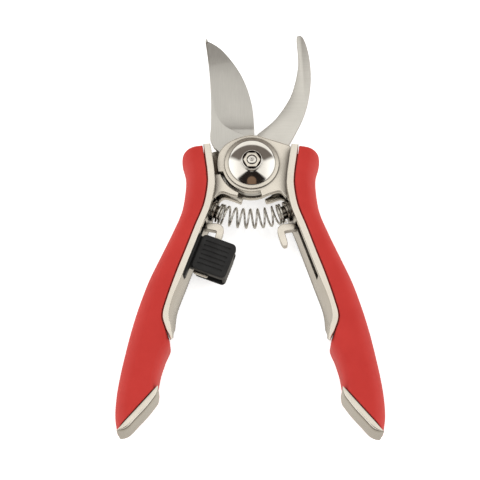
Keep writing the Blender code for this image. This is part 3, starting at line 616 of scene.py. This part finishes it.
# ---------------------------------------------------------------- frames of reference
MIRROR = Matrix.Scale(-1, 4, (1, 0, 0))
TO_LEFT = Matrix.Rotation(LEFT_TURN, 4, "Z") @ Matrix.Translation((2 * MIRROR_X * MM, 0, 0)) @ MIRROR


def side_matrix(side):
    """Carries a shape drawn for the right handle to the handle on that side."""
    return Matrix.Identity(4) if side == "right" else TO_LEFT


def pivot_matrix(side):
    """Carries a shape drawn for the right lug to the lug on that side."""
    return Matrix.Identity(4) if side == "right" else MIRROR


def lock_frame():
    """Frame on the left handle's inner wall: X away from the wall, Y up along the handle."""
    wall = RIM_IN[LOCK_KNOT]
    run = Vector(RIM_IN[LOCK_KNOT + 1]) - Vector(RIM_IN[LOCK_KNOT - 1])
    tilt = Matrix.Rotation(math.atan2(run.x, run.y) - math.pi, 4, "Z")
    origin = Matrix.Translation(((2 * MIRROR_X - wall[0]) * MM, wall[1] * MM, 0))
    return Matrix.Rotation(LEFT_TURN, 4, "Z") @ origin @ tilt


def spring_point(f, radius=0.0, turn=0.0):
    """Point at fraction f of the spring's arc, out on a coil of the given radius."""
    half = math.asin(0.5 * SPRING_SPAN / SPRING_ARC)
    a = half * (2 * f - 1)
    centre = SPRING_ARC + radius * math.cos(turn)
    return (
        MIRROR_X + centre * math.sin(a),
        SPRING_Y + SPRING_ARC - centre * math.cos(a),
        MID + radius * math.sin(turn),
    )


def seat_matrix():
    """Frame at the spring's right end: Z outward along the spring, X away from the pivot."""
    half = math.asin(0.5 * SPRING_SPAN / SPRING_ARC)
    out = Vector((math.cos(half), math.sin(half), 0.0))
    side = Vector((math.sin(half), -math.cos(half), 0.0))
    rotation = Matrix((side, out.cross(side), out)).transposed().to_4x4()
    return Matrix.Translation(Vector(spring_point(1.0)) * MM) @ rotation


def smooth_line(points, per_step):
    """The smooth curve through points as a list, per_step places to each stretch."""
    last = (len(points) - 1) * per_step
    return [tuple(along(points, k / per_step)) for k in range(last + 1)]


def body_of(side):
    return LEFT if side == "left" else RIGHT


# ---------------------------------------------------------------- grips
def across_grip(t):
    """Rim-side point, direction and width of a grip at t, and its direction towards the tip."""
    p = along(GRIP_IN, t)
    q = along(GRIP_OUT, t)
    across = (q - p).normalized()
    return p, across, (q - p).length, Vector((across.y, -across.x))


def grip_ring(t, inset, steps=14):
    """Section of a grip across the handle: flat on the rim's side, well rounded outside."""
    start, across, width, _ = across_grip(t)
    length = width - inset
    half = MID - inset
    in_x = min(blend(GRIP_CORNER, 5.0, t, *EDGE_EASE), 0.3 * length)
    in_z = blend(GRIP_CORNER, 9.5, t, *EDGE_EASE)
    out_x = min(0.62 * length, 8.5)
    out_z = 0.95 * half
    section = []
    section += corner(length - out_x, MID + half - out_z, out_x, out_z, 0, steps, 2.3)
    section += corner(in_x, MID + half - in_z, in_x, in_z, 90, steps // 2, 2.1)
    section += corner(in_x, MID - half + in_z, in_x, in_z, 180, steps // 2, 2.1)
    section += corner(length - out_x, MID - half + out_z, out_x, out_z, 270, steps, 2.3)
    return [(start.x + across.x * s, start.y + across.y * s, z) for s, z in section]


def core_ring(t, grow, past=0.0):
    """Section of the casting's tongue inside a grip; grow makes the hollow that it fits."""
    p, across, width, down = across_grip(t)
    low = blend(-1.4 - 2 * grow, 0.3 * width, t, *CORE_EASE) - grow
    high = blend(0.5, 0.62, t, *CORE_EASE) * width + grow
    a = p + across * low + down * past
    b = p + across * high + down * past
    bottom = CORE_Z[0] - grow
    top = CORE_Z[1] + grow
    return [(a.x, a.y, bottom), (b.x, b.y, bottom), (b.x, b.y, top), (a.x, a.y, top)]


def core_rings(grow):
    return [core_ring(t, grow) for t in steps_between(1, LAST, 2 * (LAST - 1))]


def grip(side):
    """Soft grip around the casting's tongue, its upper end rounded over."""
    name = side + "_grip"
    rings = []
    for turn in (87, 75, 63, 51, 39, 27, 14):
        a = math.radians(turn)
        rings.append(grip_ring(END_START * (1 - math.sin(a)), GRIP_END * (1 - math.cos(a))))
    rings += [grip_ring(t, 0.0) for t in steps_between(END_START, LAST - 0.05, 108)]
    rings.append(grip_ring(LAST - 0.02, 0.1))
    rings.append(grip_ring(LAST, FIT))
    body = loft(name + "_fine", rings)
    hollow = [core_ring(1.0, FIT, -FIT)] + core_rings(FIT) + [core_ring(LAST, FIT, 3.0)]
    combine(body, loft(name + "_hollow", hollow), "DIFFERENCE")
    place(body, side_matrix(side))
    return finish(body, name + "_soft", RED, body_of(side), name, 40)


# ---------------------------------------------------------------- castings
def rail_ring(t):
    """Section of the bare metal rail: two rounded rims and the drafted inner wall."""
    small = 0.3
    edge = RIM_EDGE
    draft = along([(d, 0.0) for d in DRAFT], t).x
    width = (along(GRIP_IN, t) - along(RIM_IN, t)).length - FIT - 0.05
    section = [(width, small), (width, THICK - small), (width - small, THICK)]
    section += corner(edge, THICK - edge, edge, edge, 90, 5, 2.0)
    section += corner(edge - draft, edge, edge, edge, 180, 5, 2.0)
    section += [(width - small, 0.0)]
    ring = []
    for s, z in section:
        lean = RIM_LEAN * ease((t - RIM_LAST + 2) / 2) * (1 - z / THICK)
        f = along(RIM_IN, t - lean)
        across = (along(GRIP_IN, t - lean) - f).normalized()
        ring.append((f.x + across.x * s, f.y + across.y * s, z))
    return ring


def foot_solid(name, layers=44):
    """Metal foot across the grip's end, its outer side rounded and its tip drawn in at the back."""
    low = FOOT_BACK
    high = THICK - FOOT_FRONT
    half = (high - low) / 2
    inner = [a for a, b in FOOT]
    outer = [b for a, b in FOOT]
    rings = []
    for turn in steps_between(-90, 90, layers):
        z = low + half + half * math.sin(math.radians(turn))
        off = max(abs(z - low - half) - half + FOOT_ROUND, 0.0) / FOOT_ROUND
        share = FOOT_FLAT + (1 - FOOT_FLAT) * math.sqrt(max(1 - off * off, 0.0))
        shorter = 1 - FOOT_TIP * ((high - z) / (high - low)) ** 2
        places = [k * shorter for k in steps_between(0, len(FOOT) - 1, 24)]
        near = [along(inner, t) for t in places]
        far = [a + (along(outer, t) - a) * share for a, t in zip(near, places)]
        rings.append([(p.x, p.y, z) for p in near + far[::-1]])
    return loft(name, rings)


def lug_outline(reach):
    """Pivot lug with its raised stop sector, running out to the rail on the right."""
    start = 108
    full = 168
    points = [(reach + 1.2, 7.4), (reach - 0.6, 9.2)]
    points += arc(LUG_R + 0.2, 75.5, start, 14)
    for f in steps_between(0.05, 1.0, 19):
        points.append(polar(blend(LUG_R + 0.2, CAM_R, f, 0, 1), start + (full - start) * f))
    points += arc(CAM_R, full + 4, OPEN_STOP, 8)
    points += arc(LUG_R, OPEN_STOP + 1.5, 270 + CLOSE_LUG, 30)
    points.append(polar(LUG_R + 3.0, 270 + CLOSE_LUG))
    points += smooth_line([(8.0, -14.8), (12.0, -13.6), (13.8, -14.3), (15.6, -16.4)], 4)
    points += [(reach + 0.2, -17.4), (reach - 0.1, -10.0), (reach + 0.4, 0.0)]
    return points


def stop_outline(reach):
    """Stop plate of the other casting, on the right: a short plate with a concave end."""
    first = OPEN_STOP + OPEN_GAP - 180
    points = [(reach + 0.2, -5.4), (16.9, -5.3)]
    points += arc(STOP_R, 360 - first, 270 + CLOSE_PLATE, 16)
    points.append(polar(LUG_R + 3.4, 270 + CLOSE_PLATE))
    points += smooth_line([(9.6, -15.2), (13.2, -13.9), (15.6, -14.8), (17.0, -16.6)], 4)
    points += [(reach + 0.2, -17.4), (reach - 0.1, -10.0)]
    return points


def key_outline(radius):
    """Round with two flats, so that the bolt's neck can't turn in the back lug."""
    a = math.degrees(math.acos(KEY_FLAT))
    return arc(radius, a, 180 - a, 20) + arc(radius, 180 + a, 360 - a, 20)


def casting(side):
    """One handle casting: rail, tongue, foot, lug, stop plate, latch hook and spring boss."""
    name = side + "_handle_frame"
    right = side == "right"
    lug_z, stop_z = (FRONT_Z, BACK_Z) if right else (BACK_Z, FRONT_Z)
    reach = RAIL_REACH if right else RAIL_REACH - 2 * MIRROR_X
    to_side = side_matrix(side)
    about_pivot = pivot_matrix(side)

    rail = place(loft(name + "_fine", [rail_ring(t) for t in steps_between(0, RIM_LAST, 97)]), to_side)
    tongue = loft(name + "_tongue", core_rings(0.0) + [core_ring(LAST, 0.0, 2.4)])
    foot = bevel(foot_solid(name + "_foot"), 0.15, 2, 50)
    lug = bevel(prism(name + "_lug", lug_outline(reach), *lug_z), 0.5, 4)
    stop = bevel(prism(name + "_stop", stop_outline(reach), *stop_z), 0.45, 4)
    latch = bevel(prism(name + "_latch", smooth_line(LATCH, 3), *LATCH_Z), 0.7, 4)
    boss_low = SEAT_T + 2 * FIT
    boss_r = SEAT_R + 0.4
    profile = [(0, boss_low), (boss_r - 0.3, boss_low), (boss_r, boss_low + 0.3)]
    profile += [(boss_r, boss_low + BOSS_L), (0, boss_low + BOSS_L)]
    boss = revolve(name + "_boss", profile, 48)
    combine(rail, place(tongue, to_side), "UNION")
    combine(rail, place(foot, to_side), "UNION")
    combine(rail, place(lug, about_pivot), "UNION")
    combine(rail, place(stop, about_pivot), "UNION")
    combine(rail, place(latch, to_side), "UNION")
    combine(rail, place(boss, to_side @ seat_matrix()), "UNION")

    low, high = SLOT_A
    slot = prism(name + "_slot", [(-SLOT_DEPTH, low), (3.0, low), (3.0, high), (-SLOT_DEPTH, high)], *SLOT_Z)
    combine(rail, place(slot, to_side @ TO_LEFT.inverted() @ lock_frame()), "DIFFERENCE")
    if right:
        drill(rail, name + "_hole", BUSH_R + FIT, lug_z[0] - 1, lug_z[1] + 1, 64)
    else:
        hole = prism(name + "_hole", key_outline(KEY_R + FIT), lug_z[0] - 1, lug_z[1] + 1)
        combine(rail, hole, "DIFFERENCE")
    return finish(rail, name + "_cast", NICKEL, body_of(side), name)


# ---------------------------------------------------------------- blades
def ground_rings(pairs, steps=66):
    """Sections of the wedge that is ground off the blade's front, deepest beyond the edge."""
    tops = [top for top, edge in pairs]
    edges = [edge for top, edge in pairs]
    high = BLADE_Z[1] + 1.0
    beyond = 1.5
    rings = []
    for t in steps_between(0, len(pairs) - 1, steps):
        b = along(tops, t)
        e = along(edges, t)
        out = e + (e - b).normalized() * beyond
        slope = min((BLADE_T - KEEN) / (e - b).length, GROUND_SLOPE)
        top_z = BLADE_Z[0] + KEEN + slope * (e - b).length
        low = max(top_z - slope * (out - b).length, BLADE_Z[0] - 0.4)
        rings.append([(b.x, b.y, top_z), (out.x, out.y, low), (out.x, out.y, high), (b.x, b.y, high)])
    return rings


def cutting_blade():
    tang = [(2.6, 13.2), (9.5, 11.2), (14.4, 7.8), (14.4, -9.4), (9.6, -11.0)]
    tang += arc(TANG_R, 310, 175, 40) + [(-14.2, 6.2)]
    body = prism("cutting_blade_fine", smooth_line(EDGE, 6) + tang + smooth_line(SPINE, 5), *BLADE_Z)
    combine(body, loft("blade_ground", ground_rings(GROUND)), "DIFFERENCE")
    drill(body, "blade_bore", BUSH_R + FIT, BLADE_Z[0] - 1, BLADE_Z[1] + 1, 64)
    return finish(body, "cutting_blade_ground", BLADE, RIGHT, "cutting_blade", 6)


def counter_blade():
    tang = arc(TANG_R + 0.2, 100, 135, 10) + [(-14.6, 7.4), (-15.2, 6.0), (-15.2, -9.4), (-9.6, -11.0)]
    tang += arc(TANG_R, 230, 375, 40)
    outline = smooth_line(HOOK_IN, 6) + [(0.5, 14.6)] + tang + smooth_line(HOOK_OUT, 5)
    body = bevel(prism("counter_blade_fine", outline, *HOOK_Z), 0.35, 2, 60)
    drill(body, "counter_bore", BUSH_R + FIT, HOOK_Z[0] - 1, HOOK_Z[1] + 1, 64)
    return finish(body, "counter_blade_ground", COUNTER, LEFT, "counter_blade", 25)


# ---------------------------------------------------------------- pivot
def pivot_bolt():
    """Bolt from the rounded head at the back to the threaded end with its centre mark."""
    low, high = HEAD_Z
    flat_r = 5.2
    profile = [(0, low), (flat_r, low)]
    for k in range(1, 13):
        a = math.radians(90 * k / 12)
        height = low + (high - 0.9 - low) * (1 - math.cos(a))
        profile.append((flat_r + (HEAD_R - flat_r) * math.sin(a), height))
    profile += [(HEAD_R, high), (SHAFT_R, high), (SHAFT_R, WASHER_Z[0] - FIT)]
    profile += [(STUD_R, WASHER_Z[0] + 0.6), (STUD_R, THICK - 0.3), (STUD_R - 0.12, THICK - 0.1)]
    profile += [(STUD_R - 0.35, THICK), (1.05, THICK), (0.95, THICK - 0.1), (0.6, THICK - 0.45)]
    profile += [(0, THICK - 0.6)]
    body = revolve("pivot_bolt_fine", profile, 72)
    combine(body, prism("bolt_neck", key_outline(KEY_R), high - 0.5, BACK_Z[1]), "UNION")
    return finish(body, "pivot_bolt_turned", CHROME, LEFT, "pivot_bolt")


def dome_cap():
    """Spherical cap on a low rim, with a raised collar around the nut's well."""
    foot_r = COLLAR_R + 0.15
    peak = COLLAR_TOP - 1.4 + DOME_CURVE * (1 - math.cos(math.asin(foot_r / DOME_CURVE)))
    well = NUT_FLATS / math.sqrt(3) + FIT
    profile = [(STUD_R + FIT, DOME_Z), (DOME_R - 0.3, DOME_Z), (DOME_R - 0.06, DOME_Z + 0.1)]
    profile += [(DOME_R, DOME_Z + 0.3)]
    for r in steps_between(DOME_R - 0.15, foot_r, 28):
        profile.append((r, peak - DOME_CURVE + math.sqrt(DOME_CURVE ** 2 - r * r)))
    profile += [(COLLAR_R, COLLAR_TOP - 1.3), (COLLAR_R, COLLAR_TOP - 0.4)]
    profile += [(COLLAR_R - 0.08, COLLAR_TOP - 0.18), (COLLAR_R - 0.25, COLLAR_TOP - 0.04)]
    profile += [(COLLAR_R - 0.45, COLLAR_TOP), (well + 0.08, COLLAR_TOP - 0.06), (well, COLLAR_TOP - 0.2)]
    profile += [(well, NUT_Z[0] - FIT), (STUD_R + FIT, NUT_Z[0] - FIT)]
    body = revolve("dome_cap_fine", profile, 96)
    return finish(body, "dome_cap_polished", CHROME, LEFT, "dome_cap")


def lock_nut():
    body = bevel(prism("lock_nut_fine", arc(NUT_FLATS / math.sqrt(3), 0, 300, 5), *NUT_Z), 0.25, 4)
    drill(body, "nut_bore", STUD_R + FIT, NUT_Z[0] - 1, NUT_Z[1] + 1, 48)
    return finish(body, "lock_nut_hex", NICKEL, LEFT, "lock_nut")


def pivot_washer():
    low, high = WASHER_Z
    profile = [(SHAFT_R + FIT, low), (WASHER_R - 0.1, low), (WASHER_R, low + 0.1), (WASHER_R, high - 0.2)]
    profile += [(WASHER_R - 0.06, high - 0.06), (WASHER_R - 0.2, high), (SHAFT_R + FIT, high)]
    body = revolve("pivot_washer_fine", profile, 96)
    return finish(body, "pivot_washer_plate", NICKEL, LEFT, "pivot_washer")


# ---------------------------------------------------------------- spring
def spring():
    """Compression spring bent to an arc between the two handles."""
    total = 2 * CLOSE_TURNS + OPEN_TURNS
    closed = CLOSE_TURNS * CLOSE_SHARE
    per_turn = 40
    points = []
    for k in range(total * per_turn + 1):
        turns = k / per_turn
        if turns <= CLOSE_TURNS:
            f = turns * CLOSE_SHARE
        elif turns >= total - CLOSE_TURNS:
            f = 1 - (total - turns) * CLOSE_SHARE
        else:
            f = closed + (1 - 2 * closed) * (turns - CLOSE_TURNS) / OPEN_TURNS
        f = SPRING_SHORT + (1 - 2 * SPRING_SHORT) * f
        points.append(spring_point(f, COIL_R, 2 * math.pi * turns))
    body = tube("return_spring_fine", points, WIRE_R, 12)
    finish(body, "return_spring_wire", WIRE, None, "return_spring", 60)
    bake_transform(body)
    return body


def spring_seat(side):
    """Seat disc with a rounded stud inside the spring's end."""
    name = side + "_spring_seat"
    profile = [(0, -SEAT_STUD_L)]
    for k in range(7):
        a = math.radians(90 * k / 6)
        profile.append((SEAT_STUD_R - 0.6 + 0.6 * math.sin(a), -SEAT_STUD_L + 0.6 * (1 - math.cos(a))))
    profile += [(SEAT_STUD_R, FIT), (SEAT_R - 0.2, FIT), (SEAT_R, FIT + 0.2), (SEAT_R, FIT + SEAT_T - 0.1)]
    profile += [(SEAT_R - 0.1, FIT + SEAT_T), (0, FIT + SEAT_T)]
    body = place(revolve(name + "_fine", profile, 48), side_matrix(side) @ seat_matrix())
    return finish(body, name + "_disc", NICKEL, body_of(side), name)


# ---------------------------------------------------------------- lock
def lock_slider():
    """Sliding button: grooved front, captive strip in the handle's slot, side wall and back lip."""
    n0, n1 = CAP_N
    a0, a1 = CAP_A
    wall_out = n1 - 0.15
    wall = [(n1 - CAP_WALL, a0 + 0.9), (wall_out, a0 + 1.4), (wall_out, a1 - 4.6), (n1 - CAP_WALL, a1 - 4.6)]
    base = [(-1.0, a0 + 0.4), (n0 + 1.2, a0 + 0.4), (n0 + 1.2, a1 - 0.9), (-1.0, a1 - 0.9)]
    lip = rounded_box((n0 + 1.6, a0 + 0.3), (n1 - 0.35, a1 - 0.3), 1.6)
    s0 = SLOT_A[0] + 0.5
    s1 = SLOT_A[1] - LOCK_TRAVEL - 0.7
    strip = [(-SLOT_DEPTH + FIT, s0), (0.9, s0), (0.9, s1), (-SLOT_DEPTH + FIT, s1)]

    front = rounded_box((n0, a0), (n1, a1), CAP_CORNER, 10)
    body = bevel(prism("lock_slider_fine", front, CAP_TOP - CAP_FRONT, CAP_TOP), 0.7, 5)
    pieces = [
        bevel(prism("lock_base", base, SLOT_Z[0] + FIT, CAP_TOP - 1.8), 0.3, 2),
        bevel(prism("lock_strip", strip, SLOT_Z[0] + FIT, SLOT_Z[1] - FIT), 0.2, 2),
        bevel(prism("lock_wall", wall, CAP_BACK + 0.4, CAP_TOP - 1.5), 0.3, 3),
        bevel(prism("lock_lip", lip, CAP_BACK, CAP_BACK + CAP_WALL), 0.35, 3),
    ]
    for piece in pieces:
        combine(body, piece, "UNION")
    for k, a in enumerate(steps_between(a0 + 3.0, a1 - 3.0, GROOVES - 1)):
        low = (n0 + 2.2, a - GROOVE_W / 2)
        high = (n1 - 2.2, a + GROOVE_W / 2)
        groove = prism("lock_groove_%d" % k, rounded_box(low, high, 0.49 * GROOVE_W, 6),
                       CAP_TOP - GROOVE_DEEP, CAP_TOP + 1)
        combine(body, bevel(groove, 0.25, 2), "DIFFERENCE")
    bake(body)
    place(body, lock_frame())
    return finish(body, "lock_button", PLASTIC, LOCK, "lock_slider")


def lock_plate():
    """Small steel plate behind the button's front, proud of its lower end."""
    high = CAP_TOP - CAP_FRONT - FIT
    outline = rounded_box((CAP_N[0] + 1.5, CAP_A[0] - 0.9), (10.0, -0.5), 0.8, 6)
    body = bevel(prism("lock_plate_fine", outline, high - PLATE_T, high), 0.25, 3)
    bake(body)
    place(body, lock_frame())
    return finish(body, "lock_plate_insert", NICKEL, LOCK, "lock_plate")


# ---------------------------------------------------------------- the shears
for side in ("left", "right"):
    casting(side)
    grip(side)
    spring_seat(side)
cutting_blade()
counter_blade()
pivot_bolt()
dome_cap()
lock_nut()
pivot_washer()
spring()
lock_slider()
lock_plate()
for node in ("blade_pin_upper", "blade_pin_lower", "counter_pin_upper", "counter_pin_lower", "pivot_bush"):
    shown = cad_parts[node]
    shown.data.materials.clear()
    shown.data.materials.append(TURNED)


# ---------------------------------------------------------------- floor, light and camera
class Sums:
    """Number nodes in one node tree, written as calls."""

    def __init__(self, tree):
        self.tree = tree

    def math(self, operation, first, second=None):
        node = self.tree.nodes.new("ShaderNodeMath")
        node.operation = operation
        for socket, value in zip(node.inputs, (first, second)):
            if isinstance(value, float):
                socket.default_value = value
            elif value is not None:
                self.tree.links.new(value, socket)
        return node.outputs[0]

    def step(self, value, low, high, out_low=0.0, out_high=1.0):
        """Smooth step of a value between two places."""
        node = self.tree.nodes.new("ShaderNodeMapRange")
        node.interpolation_type = "SMOOTHSTEP"
        node.inputs["From Min"].default_value = low
        node.inputs["From Max"].default_value = high
        node.inputs["To Min"].default_value = out_low
        node.inputs["To Max"].default_value = out_high
        self.tree.links.new(value, node.inputs["Value"])
        return node.outputs["Result"]

    def mix(self, fac, first, second):
        """Colour between two colours, each a tuple or a socket."""
        node = self.tree.nodes.new("ShaderNodeMix")
        node.data_type = "RGBA"
        self.tree.links.new(fac, node.inputs["Factor"])
        for socket, value in ((node.inputs[6], first), (node.inputs[7], second)):
            if isinstance(value, tuple):
                socket.default_value = (*value, 1.0)
            else:
                self.tree.links.new(value, socket)
        return node.outputs[2]


def floor():
    """Plain pale sheet under the shears; mirrors see a painted reflection instead, a taupe sheet that
    darkens outwards.
    """
    mesh = bpy.data.meshes.new("floor")
    half = 6.0
    corners = [(-half, -half, 0), (half, -half, 0), (half, half, 0), (-half, half, 0)]
    mesh.from_pydata(corners, [], [(0, 1, 2, 3)])
    ob = bpy.data.objects.new("floor", mesh)
    ob.location.z = -0.0002
    bpy.context.collection.objects.link(ob)
    look = Look("pale_sheet", (0.90, 0.90, 0.90), 0.0, 0.9)
    look.link(look.ramp(look.noise(6, 3), (0.89, 0.89, 0.89), (0.92, 0.92, 0.92)), "Base Color")
    look.set("Specular IOR Level", 0.1)
    tree = look.tree
    sums = Sums(tree)
    glow = tree.nodes.new("ShaderNodeEmission")
    glow.inputs["Strength"].default_value = 0.62
    add = tree.nodes.new("ShaderNodeAddShader")
    tree.links.new(look.shader.outputs[0], add.inputs[0])
    tree.links.new(glow.outputs[0], add.inputs[1])

    # Painted reflection: glossy rays see a taupe emission that darkens away from the shears, not the pale
    # sheet.
    reach = tree.nodes.new("ShaderNodeVectorMath")
    reach.operation = "LENGTH"
    tree.links.new(look.coords, reach.inputs[0])
    away = sums.step(reach.outputs["Value"], 0.09, 0.30)
    painted_reflection = tree.nodes.new("ShaderNodeEmission")
    tree.links.new(sums.mix(away, (0.58, 0.54, 0.48), (0.055, 0.045, 0.038)), painted_reflection.inputs["Color"])
    path = tree.nodes.new("ShaderNodeLightPath")
    mix = tree.nodes.new("ShaderNodeMixShader")
    tree.links.new(path.outputs["Is Glossy Ray"], mix.inputs[0])
    tree.links.new(add.outputs[0], mix.inputs[1])
    tree.links.new(painted_reflection.outputs[0], mix.inputs[2])
    tree.links.new(mix.outputs[0], tree.nodes["Material Output"].inputs["Surface"])
    mesh.materials.append(look.material)


def studio():
    """Soft room: cream overhead, white sides, a dark far wall and a dark near patch."""
    world = bpy.data.worlds.new("studio")
    world.use_nodes = True
    bpy.context.scene.world = world
    tree = world.node_tree
    sums = Sums(tree)
    coords = tree.nodes.new("ShaderNodeTexCoord").outputs["Generated"]
    split = tree.nodes.new("ShaderNodeSeparateXYZ")
    tree.links.new(coords, split.inputs[0])
    x, y, z = (split.outputs[axis] for axis in "XYZ")
    level = sums.math("SQRT", sums.math("SUBTRACT", 1.0, sums.math("MULTIPLY", z, z)))
    toward = sums.math("DIVIDE", y, level)
    sideways = sums.math("ABSOLUTE", x)

    cream = (0.96, 0.925, 0.86)
    white = (1.25, 1.23, 1.18)
    taupe = (0.17, 0.145, 0.125)
    black = (0.018, 0.014, 0.012)
    brown = (0.20, 0.125, 0.08)
    room = sums.mix(sums.step(sideways, 0.45, 0.80), cream, white)
    # The far wall ends above a pale strip.
    far = sums.math("MULTIPLY", sums.step(toward, 0.48, 0.66), sums.step(z, 0.76, 0.86, 1.0, 0.0))
    far = sums.math("MULTIPLY", far, sums.step(z, 0.36, 0.44))
    room = sums.mix(far, room, taupe)
    # The near patch stops short of the zenith.
    near = sums.math("MULTIPLY", sums.step(toward, -0.62, -0.46, 1.0, 0.0), sums.step(z, 0.66, 0.74))
    near = sums.math("MULTIPLY", near, sums.step(z, 0.984, 0.992, 1.0, 0.0))
    room = sums.mix(near, room, black)
    # Everything low is dim except on the far side.
    low = sums.math("MULTIPLY", sums.step(z, 0.20, 0.45, 1.0, 0.0), sums.step(toward, 0.30, 0.60, 1.0, 0.0))
    room = sums.mix(low, room, taupe)
    # A brown spot lies inside the near patch.
    tip = math.radians(33)
    spot = tree.nodes.new("ShaderNodeVectorMath")
    spot.operation = "DOT_PRODUCT"
    tree.links.new(coords, spot.inputs[0])
    spot.inputs[1].default_value = (0.0, -math.sin(tip), math.cos(tip))
    room = sums.mix(sums.step(spot.outputs["Value"], 0.974, 0.986), room, brown)

    # Matt surfaces are lit by an even room instead.
    path = tree.nodes.new("ShaderNodeLightPath")
    soft = sums.mix(sums.step(sideways, 0.5, 0.95), (0.45, 0.45, 0.45), (1.9, 1.87, 1.8))
    seen = sums.mix(path.outputs["Is Diffuse Ray"], room, soft)
    tree.links.new(seen, tree.nodes["Background"].inputs["Color"])


def soft_light(name, at, size, power, aim):
    """Round lamp that lights the shears but isn't seen in the metal."""
    data = bpy.data.lights.new(name, "AREA")
    data.shape = "DISK"
    data.size = size
    data.energy = power
    ob = bpy.data.objects.new(name, data)
    ob.location = at
    ob.rotation_euler = (Vector(aim) - Vector(at)).to_track_quat("-Z", "Y").to_euler()
    ob.visible_glossy = False
    bpy.context.collection.objects.link(ob)


def camera():
    """Looks down at the open shears, tipped 18 degrees from straight above towards the handles."""
    tilt = math.radians(18.0)
    distance = 0.9
    aim = Vector((-5.44, -37.09, 18.2)) * MM
    view_width = 0.2184
    data = bpy.data.cameras.new("camera")
    data.sensor_width = 36.0
    data.lens = data.sensor_width * distance / view_width
    data.clip_start = 0.01
    ob = bpy.data.objects.new("camera", data)
    ob.location = aim + distance * Vector((0.0, -math.sin(tilt), math.cos(tilt)))
    ob.rotation_euler = (tilt, 0.0, 0.0)
    bpy.context.collection.objects.link(ob)
    bpy.context.scene.camera = ob


LAMP_SIZE = 0.9
LIT_POINT = (0, -0.03, 0)
floor()
studio()
soft_light("key", (-0.7, 0.35, 1.3), LAMP_SIZE, 6.5, LIT_POINT)
soft_light("fill", (0.9, -0.3, 1.1), LAMP_SIZE, 4.5, LIT_POINT)
camera()
bpy.context.scene.view_settings.view_transform = "Standard"
